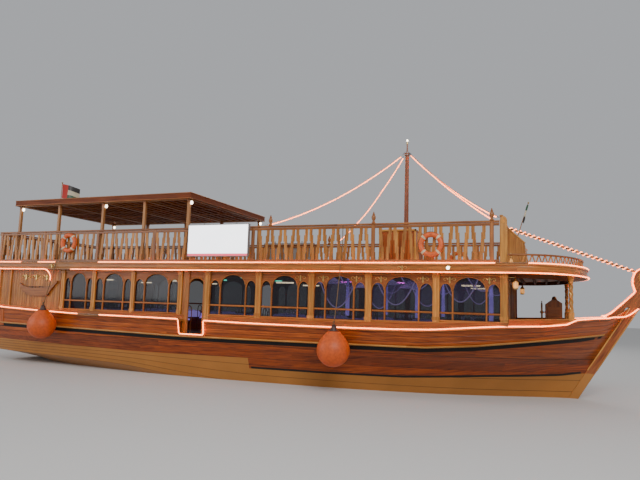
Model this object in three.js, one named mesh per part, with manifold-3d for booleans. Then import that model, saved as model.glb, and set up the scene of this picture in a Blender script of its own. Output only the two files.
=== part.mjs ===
// Twin-deck wooden dinner-cruise dhow. Millimetres, +X to the bow, +Y to port, +Z up.
// The origin is on the centreline at the waterline.
import * as THREE from "three";
import { mergeVertices } from "three/addons/utils/BufferGeometryUtils.js";
import Module from "manifold-3d";

const GAP = 0.3;

// Heights
const KEEL_BOTTOM = -1200;
const KEEL_TOP = -1000;
const HULL_TOP = 1060;
const DECK = 1150;
const NOTCH_SILL = 1270;
const BAND_BOTTOM = 3160;
const UPPER_DECK = 3390;
const RAIL_TOP = 4470;
const SCREEN_TOP = 4620;
const CANOPY_BOTTOM = 5375;
const CANOPY_TOP = 5570;
const HOUNDS = 7000;
const MAST_TOP = 7380;

// Half-breadths
const WALL_Y = 2340;
const BAND_Y = 2530;
const RAIL_Y = 2450;
const CANOPY_Y = 2480;

// Lengthwise stations
const WALL_AFT = -9850;
const WALL_FORE = 7185;
const UPPER_AFT = -10050;
const NOSE_CENTRE = 7400;
const NOSE_LENGTH = 1670;
const CANOPY_AFT = -9300;
const CANOPY_FORE = -2020;
const MAST_X = 4100;
const STEM_RAKE = 0.62;
const TRANSOM_RAKE = 0.28;
const HULL_AFT = -9900;
const HULL_FORE = 8550;
const RUDDER_X = -9300;
const SHAFT_Z = -620;

const LANTERN = [
  // radius, height
  [0, -20],
  [50, -15],
  [50, 10],
  [58, 60],
  [50, 158],
  [64, 162],
  [0, 200],
];
const LAMP = [
  // radius, height
  [0, -104],
  [30, -86],
  [39, -52],
  [27, 0],
  [32, 24],
  [13, 46],
  [0, 46],
];
const FINIAL = [
  // radius, height
  [0, -20],
  [50, -20],
  [53, 20],
  [30, 62],
  [57, 150],
  [29, 232],
  [34, 248],
  [0, 312],
];

const WOOD = { hull: 0x7a3b1c, light: 0xa8642f, dark: 0x4a1f12, rail: 0x8d4a22 };

const wasm = await Module();
wasm.setup();

const dhow = new THREE.Group();
dhow.name = "dhow";

function solid(geometry) {
  const bare = new THREE.BufferGeometry();
  const flat = geometry.index ? geometry.toNonIndexed() : geometry;
  bare.setAttribute("position", flat.getAttribute("position"));
  const merged = mergeVertices(bare, 1e-3);
  return new wasm.Manifold(
    new wasm.Mesh({
      numProp: 3,
      vertProperties: merged.attributes.position.array,
      triVerts: new Uint32Array(merged.index.array),
    }),
  );
}

function add(name, shape, color, roughness = 0.5, metalness = 0) {
  const got = shape.getMesh();
  const geometry = new THREE.BufferGeometry();
  geometry.setAttribute("position", new THREE.BufferAttribute(got.vertProperties, 3));
  geometry.setIndex(new THREE.BufferAttribute(got.triVerts, 1));
  geometry.computeVertexNormals();
  const mesh = new THREE.Mesh(geometry, new THREE.MeshStandardMaterial({ color, roughness, metalness }));
  mesh.name = name;
  dhow.add(mesh);
  return shape;
}

function box(x0, x1, y0, y1, z0, z1) {
  const geometry = new THREE.BoxGeometry(x1 - x0, y1 - y0, z1 - z0);
  geometry.translate((x0 + x1) / 2, (y0 + y1) / 2, (z0 + z1) / 2);
  return solid(geometry);
}

// A round bar between two points.
function bar(from, to, radius, sides = 12, endRadius = radius) {
  const a = new THREE.Vector3(...from);
  const b = new THREE.Vector3(...to);
  const geometry = new THREE.CylinderGeometry(endRadius, radius, a.distanceTo(b), sides);
  const turn = new THREE.Quaternion().setFromUnitVectors(
    new THREE.Vector3(0, 1, 0),
    b.clone().sub(a).normalize(),
  );
  geometry.applyQuaternion(turn);
  geometry.translate((a.x + b.x) / 2, (a.y + b.y) / 2, (a.z + b.z) / 2);
  return solid(geometry);
}

// A turned piece on an upright axis: the profile's columns are radius and height over z.
function lathe(profile, x, y, z, sides) {
  const geometry = new THREE.LatheGeometry(
    profile.map(([r, h]) => new THREE.Vector2(r, h)),
    sides,
  );
  geometry.rotateX(Math.PI / 2);
  geometry.translate(x, y, z);
  return solid(geometry);
}

// A flat outline raised from 0 to depth, with holes cut through it.
function raised(points, depth, holes = []) {
  const prism = (outline, from, to) => {
    const shape = new THREE.Shape(outline.map(([u, v]) => new THREE.Vector2(u, v)));
    const geometry = new THREE.ExtrudeGeometry(shape, { depth: to - from, bevelEnabled: false });
    geometry.translate(0, 0, from);
    return solid(geometry);
  };
  const plate = prism(points, 0, depth);
  if (!holes.length) return plate;
  return plate.subtract(wasm.Manifold.union(holes.map((hole) => prism(hole, -10, depth + 10))));
}

// Plan outline (x, y) raised from z0 to z1.
function plan(points, z0, z1, holes) {
  return raised(points, z1 - z0, holes).translate([0, 0, z0]);
}

// Side outline (x, z) given thickness from y0 to y1.
function side(points, y0, y1, holes) {
  return raised(points, y1 - y0, holes).rotate([90, 0, 0]).translate([0, y1, 0]);
}

// Athwart outline (y, z) given thickness from x0 to x1.
function across(points, x0, x1, holes) {
  return raised(points, x1 - x0, holes).rotate([90, 0, 90]).translate([x0, 0, 0]);
}

function mirrored(shape) {
  return shape.mirror([0, 1, 0]);
}

// What is left of a shape beside its neighbours, with the gap all round them, as its largest body.
function fitted(shape, ...others) {
  let left = shape;
  for (const other of others) {
    for (const step of [[GAP, 0, 0], [-GAP, 0, 0], [0, GAP, 0], [0, -GAP, 0], [0, 0, GAP], [0, 0, -GAP]]) {
      left = left.subtract(other.translate(step));
    }
  }
  return left.decompose().reduce((best, s) => (s.volume() > best.volume() ? s : best));
}

// Rings of equal point count joined in order from aft to fore, with both ends closed.
function loft(given) {
  const flat = (ring) => ring.map((p) => new THREE.Vector2(p[1], p[2]));
  const turned = THREE.ShapeUtils.isClockWise(flat(given[0]));
  const rings = given.map((ring) => (turned ? ring.slice().reverse() : ring));
  const n = rings[0].length;
  const positions = [];
  for (let i = 0; i + 1 < rings.length; i++) {
    for (let k = 0; k < n; k++) {
      const m = (k + 1) % n;
      const [a, b, c, d] = [rings[i][k], rings[i][m], rings[i + 1][m], rings[i + 1][k]];
      positions.push(...a, ...b, ...c, ...a, ...c, ...d);
    }
  }
  const [aft, fore] = [rings[0], rings[rings.length - 1]];
  for (const [a, b, c] of THREE.ShapeUtils.triangulateShape(flat(aft), [])) {
    positions.push(...aft[a], ...aft[c], ...aft[b]);
  }
  for (const [a, b, c] of THREE.ShapeUtils.triangulateShape(flat(fore), [])) {
    positions.push(...fore[a], ...fore[b], ...fore[c]);
  }
  const geometry = new THREE.BufferGeometry();
  geometry.setAttribute("position", new THREE.Float32BufferAttribute(positions, 3));
  return solid(geometry);
}

// Hull offsets, one row a station: keel half-breadth and height, floor, turn of the side,
// then the half-breadths at the paint line, the deck edge and the gunwale, and the gunwale's height.
const OFFSETS = [
  // x, keelY, keelZ, floorY, floorZ, turnY, turnZ, paintY, deckY, gunY, gunZ
  [-9900, 60, 40, 130, 55, 2060, 370, 2170, 2230, 2290, 1920],
  [-9000, 60, -110, 130, -95, 2150, 350, 2260, 2330, 2400, 1840],
  [-8450, 60, -215, 130, -200, 2190, 340, 2300, 2370, 2430, 1815],
  [-8250, 90, -1000, 130, -330, 2200, 335, 2310, 2380, 2440, 1805],
  [-7500, 90, -1000, 170, -520, 2240, 325, 2350, 2420, 2480, 1775],
  [-6000, 90, -1000, 330, -760, 2290, 290, 2400, 2460, 2520, 1730],
  [-4000, 90, -1000, 700, -850, 2290, 190, 2420, 2490, 2560, 1720],
  [-2300, 90, -1000, 1000, -860, 2150, -20, 2400, 2500, 2580, 1710],
  [0, 90, -1000, 1100, -860, 1950, -250, 2330, 2490, 2590, 1680],
  [2900, 90, -1000, 950, -860, 1650, -300, 2200, 2450, 2590, 1680],
  [5000, 90, -1000, 650, -850, 1200, -320, 1880, 2290, 2550, 1720],
  [6000, 90, -1000, 450, -840, 900, -330, 1560, 2050, 2460, 1830],
  [7000, 90, -1000, 260, -820, 530, -340, 1090, 1560, 2030, 1930],
  [7550, 90, -1000, 180, -800, 340, -340, 740, 1120, 1550, 2070],
  [8000, 90, -1000, 125, -780, 210, -340, 440, 690, 980, 2130],
  [8300, 90, -1000, 105, -770, 140, -340, 250, 390, 620, 2170],
  [8550, 80, -1000, 82, -770, 84, -340, 88, 90, 95, 2420],
];
const PAINT_Z = 700;
const EDGE_Z = 1110;
const SMOOTH_FROM = -8250;

function rakedX(x, z) {
  const fore = THREE.MathUtils.smoothstep(x, 3500, HULL_FORE);
  const aft = THREE.MathUtils.smoothstep(-x, 7000, -HULL_AFT);
  return x + STEM_RAKE * z * fore - TRANSOM_RAKE * z * aft;
}

// The same columns at a station between two rows, on a smooth curve.
function between(i, t) {
  const row = (k) => OFFSETS[Math.min(Math.max(k, 0), OFFSETS.length - 1)];
  const [a, b, c, d] = [row(i - 1), row(i), row(i + 1), row(i + 2)];
  return b.map((v, k) => {
    const span = (c[0] - b[0]) / 2;
    const m1 = c[0] > a[0] ? ((c[k] - a[k]) / (c[0] - a[0])) * 2 * span : c[k] - b[k];
    const m2 = d[0] > b[0] ? ((d[k] - b[k]) / (d[0] - b[0])) * 2 * span : c[k] - b[k];
    const t2 = t * t;
    const t3 = t2 * t;
    return (2 * t3 - 3 * t2 + 1) * v + (t3 - 2 * t2 + t) * m1 + (3 * t2 - 2 * t3) * c[k] + (t3 - t2) * m2;
  });
}

const stations = [];
OFFSETS.forEach((row, i) => {
  stations.push(row);
  const next = OFFSETS[i + 1];
  if (next && row[0] > SMOOTH_FROM && next[0] - row[0] > 900) stations.push(between(i, 0.5));
});

const oblong = (u0, u1, v0, v1) => [
  [u0, v0],
  [u1, v0],
  [u1, v1],
  [u0, v1],
];

// Half-breadth above the paint line at a station and height.
function sideY(row, z) {
  const [, , , , , , , paintY, deckY, gunY, gunZ] = row;
  if (z <= EDGE_Z) return paintY + ((deckY - paintY) * (z - PAINT_Z)) / (EDGE_Z - PAINT_Z);
  return deckY + ((gunY - deckY) * (z - EDGE_Z)) / (gunZ - EDGE_Z);
}

// HULL: carvel planked, deck edge down to the garboard, with the engine well and the shaft bore.
const hullRings = stations.map((row) => {
  const [x, keelY, keelZ, floorY, floorZ, turnY, turnZ, paintY] = row;
  const half = [
    [keelY, keelZ],
    [floorY, floorZ],
    [(floorY + turnY) * 0.5 + (turnY - floorY) * 0.06, (floorZ + turnZ) * 0.5 - 40 * Math.min(1, floorY / 900)],
    [turnY, turnZ],
    [paintY, PAINT_Z],
    [sideY(row, HULL_TOP), HULL_TOP],
  ];
  const ring = half.map(([y, z]) => [rakedX(x, z), -y, z]);
  return ring.concat(half.reverse().map(([y, z]) => [rakedX(x, z), y, z]));
});
const WELL = { x0: -5250, x1: -3350, y: 450, z: -650 };
const hull = loft(hullRings)
  .subtract(box(WELL.x0, WELL.x1, -WELL.y, WELL.y, WELL.z, HULL_TOP + 100))
  .subtract(bar([-9000, 0, SHAFT_Z], [WELL.x0 + 50, 0, SHAFT_Z], 37, 16))
  .subtract(bar([RUDDER_X, 0, -300], [RUDDER_X, 0, 600], 54, 16));
add("hull", hull, WOOD.hull);
add("engine", box(-5200, -3600, -380, 380, WELL.z + GAP, 150), 0x55585a, 0.6, 0.4);

function heightAt(table, x) {
  const i = table.findIndex(([px]) => px > x);
  if (i <= 0) return table[i === 0 ? 0 : table.length - 1][1];
  const [[x0, z0], [x1, z1]] = [table[i - 1], table[i]];
  return z0 + ((z1 - z0) * (x - x0)) / (x1 - x0);
}

// BULWARKS: planking above the deck edge with the rub strake and the wide covering board moulded on,
// the gangway notch, and a washboard forward of the saloon.
const STRAKE = [
  // x, height
  [-9900, 1330],
  [-9000, 1310],
  [-6000, 1265],
  [-2300, 1210],
  [0, 1220],
  [5000, 1265],
  [6000, 1360],
  [7000, 1520],
  [7550, 1600],
  [8000, 1660],
  [8300, 1700],
  [8550, 1730],
];
const CAP = 60;
const bulwarkRings = stations.map((row) => {
  const [x, , , , , , , , , gunY, gunZ] = row;
  const z0 = HULL_TOP + GAP;
  const under = gunZ - CAP;
  const strake = heightAt(STRAKE, x);
  const out = x > 8300 ? 2 : 42;
  const low = sideY(row, z0);
  const high = sideY(row, under);
  const inside = Math.max(Math.min(gunY - 125, 2240), 6);
  const wall = Math.min(70, low - 10);
  const points = [
    [low, z0],
    [sideY(row, strake - 32), strake - 32],
    [sideY(row, strake) + out, strake - 24],
    [sideY(row, strake) + out, strake + 24],
    [sideY(row, strake + 32), strake + 32],
    [high, under],
    [gunY + 40, under],
    [gunY + 45, gunZ],
    [inside, gunZ],
    [inside, under],
    [Math.max(high - wall, inside + 2), under],
    [low - wall, z0],
  ];
  return points.map(([y, z]) => [rakedX(x, z), y, z]);
});
const NOTCH = { x0: -2120, x1: -1245 };
const notch = box(NOTCH.x0, NOTCH.x1, 1900, 2900, NOTCH_SILL, 2000);
// Washboards on the covering board from the saloon to the fore posts.
const WASHBOARD = { aft: 7190, fore: 8542, thick: 40 };
const WASH_TOP = [
  // x, height
  [7177, 2052],
  [7897, 2078],
  [8534, 2098],
];
const washRings = stations
  .filter((row) => row[0] >= 6000 && row[0] <= 7550)
  .map(([x, , , , , , , , , gunY, gunZ]) => {
    const at = rakedX(x, gunZ);
    const top = heightAt(WASH_TOP, at);
    const out = gunY - 20;
    const ring = oblong(out - WASHBOARD.thick, out, gunZ - 12, top);
    return ring.map(([y, z]) => [at, y, z]);
  });
const washboard = loft(washRings).intersect(box(WASHBOARD.aft, WASHBOARD.fore, 0, 2600, 1700, 2200));
const bulwarkPort = loft(bulwarkRings).subtract(notch).add(washboard);
const bulwarkStbd = mirrored(bulwarkPort);
add("bulwark_port", bulwarkPort, WOOD.hull);
add("bulwark_stbd", bulwarkStbd, WOOD.hull);

// TRANSOM: raked planked board between the bulwarks, with a leaning post at each quarter that
// carries the after end of the upper deck.
const transomX = (z) => HULL_AFT - TRANSOM_RAKE * z;
const transomTop = 1920;
const transomRaw = side(
  [
    [transomX(HULL_TOP + GAP), HULL_TOP + GAP],
    [transomX(HULL_TOP + GAP) + 80, HULL_TOP + GAP],
    [transomX(transomTop) + 80, transomTop],
    [transomX(transomTop), transomTop],
  ],
  -2245,
  2245,
);
const quarterPost = side(
  [
    [-10395, 1890],
    [-10300, 1890],
    [-9985, BAND_BOTTOM - GAP],
    [-10080, BAND_BOTTOM - GAP],
  ],
  2050,
  2140,
);
const transom = fitted(transomRaw, bulwarkPort, bulwarkStbd).add(quarterPost).add(mirrored(quarterPost));
add("transom", transom, WOOD.hull);

// MAIN DECK: planked slab inside the bulwarks.
const deckHalf = stations
  .filter((row) => row[0] > -9950 && row[0] <= 8300)
  .map((row) => [rakedX(row[0], HULL_TOP), sideY(row, HULL_TOP) - 71]);
deckHalf[0][0] += 95;
const deckOutline = deckHalf.map(([x, y]) => [x, -y]).concat(deckHalf.slice().reverse());
add("main_deck", plan(deckOutline, HULL_TOP + GAP, DECK), WOOD.light);

// KEEL, STEM AND STERNPOST
const stemAft = (z) => HULL_FORE + STEM_RAKE * z;
const stemFore = (z) => 8800 + STEM_RAKE * z;
add(
  "keel",
  side(
    [
      [-9450, KEEL_BOTTOM],
      [stemAft(KEEL_BOTTOM) - GAP, KEEL_BOTTOM],
      [stemAft(KEEL_TOP) - GAP, KEEL_TOP - GAP],
      [-9450, KEEL_TOP - GAP],
    ],
    -90,
    90,
  ),
  WOOD.hull,
);
const SCROLL = [10440, 3200];
const stem = side(
  [
    [stemAft(KEEL_BOTTOM) + GAP, KEEL_BOTTOM],
    [stemFore(KEEL_BOTTOM), KEEL_BOTTOM],
    [stemFore(2950), 2950],
    [10712, 3180],
    [10655, 3350],
    [10525, 3440],
    [10380, 3435],
    [10262, 3360],
    [10198, 3220],
    [10185, 3060],
    [10218, 2925],
    [10235, 2830],
    [10060, 2655],
    [9820, 2420],
    [9660, 2275],
    [9540, 2205],
    [9540, 2110],
    [9810, 2110],
    [9985, 2432],
    [stemAft(2433) + GAP, 2433],
  ],
  -80,
  80,
).add(bar([SCROLL[0], -98, SCROLL[1]], [SCROLL[0], 98, SCROLL[1]], 150, 16));
add("stem", stem, WOOD.hull);
add("sternpost", fitted(box(-9200, -9060, -70, 70, KEEL_TOP, 100), hull), WOOD.hull);

// RUDDER: blade on a round stock that turns in a tube of the counter.
const rudder = bar([RUDDER_X, 0, -985], [RUDDER_X, 0, 560], 45, 20).add(
  side(
    [
      [RUDDER_X, -930],
      [-10000, -900],
      [-9960, -260],
      [RUDDER_X, -190],
    ],
    -28,
    28,
  ),
);
add("rudder", rudder, WOOD.dark);

// PROPELLER: four blades on a boss, and the tail shaft.
let propeller = bar([-8870, 0, SHAFT_Z], [-8640, 0, SHAFT_Z], 55, 16, 75).add(
  bar([-8700, 0, SHAFT_Z], [WELL.x0 + 10, 0, SHAFT_Z], 30, 16),
);
for (let i = 0; i < 4; i++) {
  const blade = new THREE.SphereGeometry(1, 10, 6);
  blade.scale(110, 12, 165);
  blade.rotateZ(0.9);
  blade.translate(0, 0, 190);
  blade.rotateX((i * Math.PI) / 2);
  blade.translate(-8750, 0, SHAFT_Z);
  propeller = propeller.add(solid(blade));
}
add("propeller", propeller, 0xb08d3c, 0.3, 1);

// SALOON SIDES: framed walls on the covering board, with three arched lights a bay, a ledge along
// the foot, pillars standing on it between the bays, and a half model of a small boat on the blind
// wall of the stern cabin.
const POSTS = [-6950, -5640, -4070, -2300];
const FORE_POSTS = [-1330, 370, 2010, 3650, 5440, 7087];
const BAYS = [];
for (let i = 0; i < 3; i++) BAYS.push([POSTS[i] + 70, POSTS[i + 1] - 70]);
for (let i = 0; i < 5; i++) BAYS.push([FORE_POSTS[i] + 90, FORE_POSTS[i + 1] - 90]);

const PILLARS = [];
for (const x of POSTS) PILLARS.push([x, 130]);
for (const x of FORE_POSTS) PILLARS.push([x, 165]);
const LEDGE = { aftTop: 1945, aftTurn: -7400, top: 1832, foreTurn: 3000, foreTop: 1978, out: 54 };
const HALF_MODEL = [
  [-8850, 2690],
  [-8690, 2415],
  [-8390, 2300],
  [-8090, 2262],
  [-7560, 2280],
  [-7395, 2500],
  [-7145, 2740],
  [-7170, 2785],
  [-7440, 2585],
  [-7800, 2540],
  [-8245, 2522],
  [-8640, 2590],
];

function arch(x0, x1, z0, spring, top) {
  const c = (x0 + x1) / 2;
  const r = (x1 - x0) / 2;
  const points = [
    [x0, z0],
    [x1, z0],
  ];
  for (let k = 0; k <= 6; k++) {
    const a = (k * Math.PI) / 6;
    points.push([c + r * Math.cos(a), spring + (top - spring) * Math.sin(a)]);
  }
  return points;
}

const lights = [];
for (const [x0, x1] of BAYS) {
  const edge = 330 * ((x1 - x0) / 1500);
  const sill = 1885 + Math.max(0, x0 - 3000) * 0.035;
  const cuts = [x0, x0 + edge, x1 - edge, x1];
  for (let k = 0; k < 3; k++) {
    const a = cuts[k] + (k ? 22 : 0);
    const b = cuts[k + 1] - (k < 2 ? 22 : 0);
    lights.push([
      [a, sill],
      [b, sill],
      [b, 2130],
      [a, 2130],
    ]);
    lights.push(k === 1 ? arch(a, b, 2180, 2780, 3060) : arch(a, b, 2180, 2700, 2900));
  }
}

const sheer = stations.map((row) => [rakedX(row[0], row[10]), row[10] + GAP]);
const sheerAt = (x) => heightAt(sheer, x);
const DOORWAY = { x0: -2010, x1: -1420, top: 2950 };
const JAMBS = {
  aft: [NOTCH.x0 + 2, DOORWAY.x0, WALL_Y],
  fore: [DOORWAY.x1, NOTCH.x1 - 2, WALL_Y + 44],
};
const foot = [[WALL_AFT, sheerAt(WALL_AFT)]];
for (const p of sheer) if (p[0] > WALL_AFT && p[0] < DOORWAY.x0) foot.push(p);
foot.push([DOORWAY.x0, sheerAt(DOORWAY.x0)]);
foot.push(...arch(DOORWAY.x1, DOORWAY.x0, 0, 2700, DOORWAY.top).slice(2));
foot.push([DOORWAY.x1, sheerAt(DOORWAY.x1)]);
for (const p of sheer) if (p[0] > DOORWAY.x1 && p[0] < WALL_FORE) foot.push(p);
foot.push([WALL_FORE, sheerAt(WALL_FORE)]);
const wallTop = BAND_BOTTOM - GAP;
const wallOutline = foot.concat([
  [WALL_FORE, wallTop],
  [WALL_AFT, wallTop],
]);
let wallPort = side(wallOutline, WALL_Y - 60, WALL_Y, lights);
for (const [x, wide] of PILLARS) {
  const onSill = x > NOTCH.x0 && x < NOTCH.x1;
  const foot = onSill ? sheerAt(x - wide / 2) + 2 : Math.max(LEDGE.top - 20, sheerAt(x + wide / 2) + 10);
  wallPort = wallPort.add(box(x - wide / 2, x + wide / 2, WALL_Y - 8, WALL_Y + 44, foot, wallTop - 4));
}
function ledge(x0, x1, turn, aftTop, foreTop) {
  const marks = sheer.filter(([x]) => x > x0 && x < x1);
  const low = [[x0, sheerAt(x0)], ...marks, [x1, sheerAt(x1)]].map(([x, z]) => [x, z + 2]);
  const high = [
    [x1, foreTop],
    [turn, LEDGE.top],
    [x0, aftTop],
  ];
  return side(low.concat(high), WALL_Y - 8, WALL_Y + LEDGE.out);
}
wallPort = wallPort
  .add(ledge(WALL_AFT + 3, NOTCH.x0, LEDGE.aftTurn, LEDGE.aftTop, LEDGE.top))
  .add(ledge(NOTCH.x1, WALL_FORE - 3, LEDGE.foreTurn, LEDGE.top, LEDGE.foreTop));
wallPort = wallPort.add(side(HALF_MODEL, WALL_Y - 8, WALL_Y + 95));
add("saloon_wall_port", wallPort, WOOD.light);
add("saloon_wall_stbd", mirrored(wallPort), WOOD.light);
for (const [place, [x0, x1, out]] of Object.entries(JAMBS)) {
  const top = Math.min(sheerAt(x0), sheerAt(x1)) - GAP;
  const jamb = box(x0, x1, WALL_Y - 60, out, NOTCH_SILL + 2, top);
  add("jamb_" + place + "_port", jamb, WOOD.light);
  add("jamb_" + place + "_stbd", mirrored(jamb), WOOD.light);
}

// BULKHEADS AND DOORS
const inner = WALL_Y - 60 - GAP;
function bulkhead(x0, x1, doorway) {
  const hole = doorway ? [oblong(-350, 350, DECK + 60, 3000)] : [];
  const outline = oblong(-inner, inner, DECK + GAP, wallTop);
  return fitted(across(outline, x0, x1, hole), bulwarkPort, bulwarkStbd);
}
function door(x0, x1) {
  const panes = [];
  for (const [v0, v1] of [
    [1980, 2265],
    [2295, 2575],
    [2605, 2892],
  ]) {
    panes.push(oblong(-244, -15, v0, v1), oblong(15, 244, v0, v1));
  }
  let leaf = across(oblong(-343, 343, DECK + 68, 2992), x0, x1, panes);
  for (const [v0, v1] of [
    [1398, 1485],
    [1555, 1860],
  ]) {
    leaf = leaf
      .subtract(box(x0 - 20, x0 + 8, -243, 243, v0, v1))
      .subtract(box(x1 - 8, x1 + 20, -243, 243, v0, v1));
  }
  return leaf;
}
// Bulkhead lanterns hang on brackets outside the front bulkhead.
let front = bulkhead(7060, 7120, true);
for (const y of [-2240, 2240]) {
  front = front
    .add(bar([7110, y, 3070], [7358, y, 3070], 9, 8))
    .add(bar([7350, y, 3075], [7350, y, 2965], 6, 6, 62))
    .add(lathe(LANTERN, 7350, y, 2800, 8));
}
add("front_bulkhead", front, WOOD.light);
add("mid_bulkhead", bulkhead(-6980, -6920, true), WOOD.light);
add("aft_bulkhead", bulkhead(-9300, -9240, false), WOOD.light);
add("front_door", door(7070, 7115), WOOD.dark);
add("cabin_door", door(-6970, -6925), WOOD.dark);

// SALOON TABLES: two rows of pedestal tables, each row on one long sole plank.
const TABLES = [
  // x, y
  [-6200, 1660],
  [-4900, 1660],
  [-3300, 1660],
  [-450, 1660],
  [1150, 1660],
  [2800, 1660],
  [4500, 1580],
  [6100, 1350],
];
const PEDESTAL = [
  // radius, height over the deck
  [0, 5],
  [210, 5],
  [195, 35],
  [45, 75],
  [45, 660],
  [120, 720],
  [0, 720],
];
const PLANK_LINE = [
  // x, y
  [-6500, 1660],
  [2900, 1660],
  [4520, 1578],
  [6350, 1310],
];
const plankSide = (out) => PLANK_LINE.map(([x, y]) => [x, y + out]);
let tables = plan(plankSide(-95).concat(plankSide(95).reverse()), DECK + GAP, DECK + 22);
for (const [x, y] of TABLES) {
  tables = tables.add(lathe(PEDESTAL, x, y, DECK, 8)).add(box(x - 420, x + 420, y - 380, y + 380, 1862, 1897));
}
add("saloon_tables_port", tables, WOOD.dark);
add("saloon_tables_stbd", mirrored(tables), WOOD.dark);

// UPPER DECK: plate on a ring of side plates and cross beams, rounded at the bow, with a nosing
// along the top and the bottom of its band.
const NOSING = 20;
function deckPlan(inset) {
  const y = BAND_Y - inset;
  const points = [
    [UPPER_AFT + inset, -y],
    [NOSE_CENTRE, -y],
  ];
  for (let k = 1; k < 30; k++) {
    const a = -Math.PI / 2 + (k * Math.PI) / 30;
    points.push([NOSE_CENTRE + (NOSE_LENGTH - inset) * Math.cos(a), y * Math.sin(a)]);
  }
  points.push([NOSE_CENTRE, y], [UPPER_AFT + inset, y]);
  return points;
}
const BEAMS = [-9300, -8160, -6950, -5640, -4070, -2300, -500, 1200, 2900, 4600, 6950];
const pockets = [];
for (let i = 0; i + 1 < BEAMS.length; i++) {
  pockets.push([
    [BEAMS[i] + 60, -2240],
    [BEAMS[i + 1] - 60, -2240],
    [BEAMS[i + 1] - 60, 2240],
    [BEAMS[i] + 60, 2240],
  ]);
}
const upperDeck = plan(deckPlan(0), BAND_BOTTOM + 44, UPPER_DECK - 44, pockets)
  .add(plan(deckPlan(-NOSING), BAND_BOTTOM, BAND_BOTTOM + 45, pockets))
  .add(plan(deckPlan(-NOSING), UPPER_DECK - 45, UPPER_DECK));
add("upper_deck", upperDeck, WOOD.hull);

// RAILS: boards leaning in turn to and fro between a foot rail and a hand rail, with stout posts
// between and turned finials on the hand rail.
const RAIL_POSTS = [-9855, -7850, -5550, -3300, 160, 3770, 6810];
const FINIALS = [700, 3770, 6810];
const FINIAL_Y = 2412;
function railPanel(u0, u1) {
  const count = Math.round((u1 - u0) / 200);
  const pitch = (u1 - u0) / count;
  const holes = [];
  for (let k = 0; k < count; k++) {
    const c = u0 + (k + 0.5) * pitch;
    const wide = pitch * 0.36;
    const thin = pitch * 0.16;
    const [low, high] = k % 2 ? [wide, thin] : [thin, wide];
    holes.push([
      [c - low, UPPER_DECK + 110],
      [c + low, UPPER_DECK + 110],
      [c + high, RAIL_TOP - 130],
      [c - high, RAIL_TOP - 130],
    ]);
  }
  const outline = [
    [u0, UPPER_DECK + GAP],
    [u1, UPPER_DECK + GAP],
    [u1, RAIL_TOP],
    [u0, RAIL_TOP],
  ];
  return [outline, holes];
}
const [railOutline, railHoles] = railPanel(-9950, 6990);
let railPort = side(railOutline, RAIL_Y - 40, RAIL_Y, railHoles).add(
  box(-9950, 6990, RAIL_Y - 75, RAIL_Y, RAIL_TOP - 50, RAIL_TOP),
);
for (const x of RAIL_POSTS) {
  railPort = railPort.add(box(x - 50, x + 50, RAIL_Y - 47, RAIL_Y + 6, UPPER_DECK + 2, RAIL_TOP - 20));
}
for (const x of FINIALS) railPort = railPort.add(lathe(FINIAL, x, FINIAL_Y, RAIL_TOP, 8));
add("rail_port", railPort, WOOD.rail);
add("rail_stbd", mirrored(railPort), WOOD.rail);
const [aftOutline, aftHoles] = railPanel(-2409.5, 2409.5);
const railAft = across(aftOutline, -9950, -9910, aftHoles).intersect(
  box(-9960, -9900, -RAIL_Y + 75 + GAP, RAIL_Y - 75 - GAP, 3000, 5000).add(
    box(-9960, -9900, -RAIL_Y + 40 + GAP, RAIL_Y - 40 - GAP, 3000, RAIL_TOP - 50 - GAP),
  ),
);
add("rail_aft", railAft, WOOD.rail);

// NOSE RAIL: low rail bent round the front of the upper deck, with slats set in a V.
const NOSE_RAIL = { start: 7175, top: 3640, half: 25, slats: 30, slatWide: 52 };
function noseLine(offset, steps) {
  const [rx, ry] = [1575 + offset, 2435 + offset];
  const points = [[NOSE_RAIL.start, -ry]];
  for (let k = 0; k <= steps; k++) {
    const a = -Math.PI / 2 + (k * Math.PI) / steps;
    points.push([NOSE_CENTRE + rx * Math.cos(a), ry * Math.sin(a)]);
  }
  points.push([NOSE_RAIL.start, ry]);
  return points;
}
const noseOutline = noseLine(NOSE_RAIL.half, 32).concat(noseLine(-NOSE_RAIL.half, 32).reverse());
const nosePath = noseLine(0, 96).map(([x, y]) => new THREE.Vector2(x, y));
const noseReach = [0];
for (let i = 1; i < nosePath.length; i++) {
  noseReach.push(noseReach[i - 1] + nosePath[i].distanceTo(nosePath[i - 1]));
}
const nosePitch = noseReach[noseReach.length - 1] / NOSE_RAIL.slats;
const noseHoles = [];
for (let k = 0; k < NOSE_RAIL.slats; k++) {
  const along = (k + 0.5) * nosePitch;
  const i = noseReach.findIndex((d) => d > along);
  const [p, q] = [nosePath[i - 1], nosePath[i]];
  const t = (along - noseReach[i - 1]) / (noseReach[i] - noseReach[i - 1]);
  const half = nosePitch - NOSE_RAIL.slatWide;
  const [low, high] = [UPPER_DECK + 36, NOSE_RAIL.top - 46];
  const [base, tip] = k % 2 ? [low, high] : [high, low];
  const triangle = [
    [-half, base],
    [half, base],
    [0, tip],
  ];
  const opening = side(triangle, -60, 60);
  const turn = (Math.atan2(q.y - p.y, q.x - p.x) * 180) / Math.PI;
  noseHoles.push(opening.rotate([0, 0, turn]).translate([p.x + (q.x - p.x) * t, p.y + (q.y - p.y) * t, 0]));
}
const noseRail = plan(noseOutline, UPPER_DECK + GAP, NOSE_RAIL.top).subtract(wasm.Manifold.union(noseHoles));
add("nose_rail", noseRail, WOOD.rail);

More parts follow.
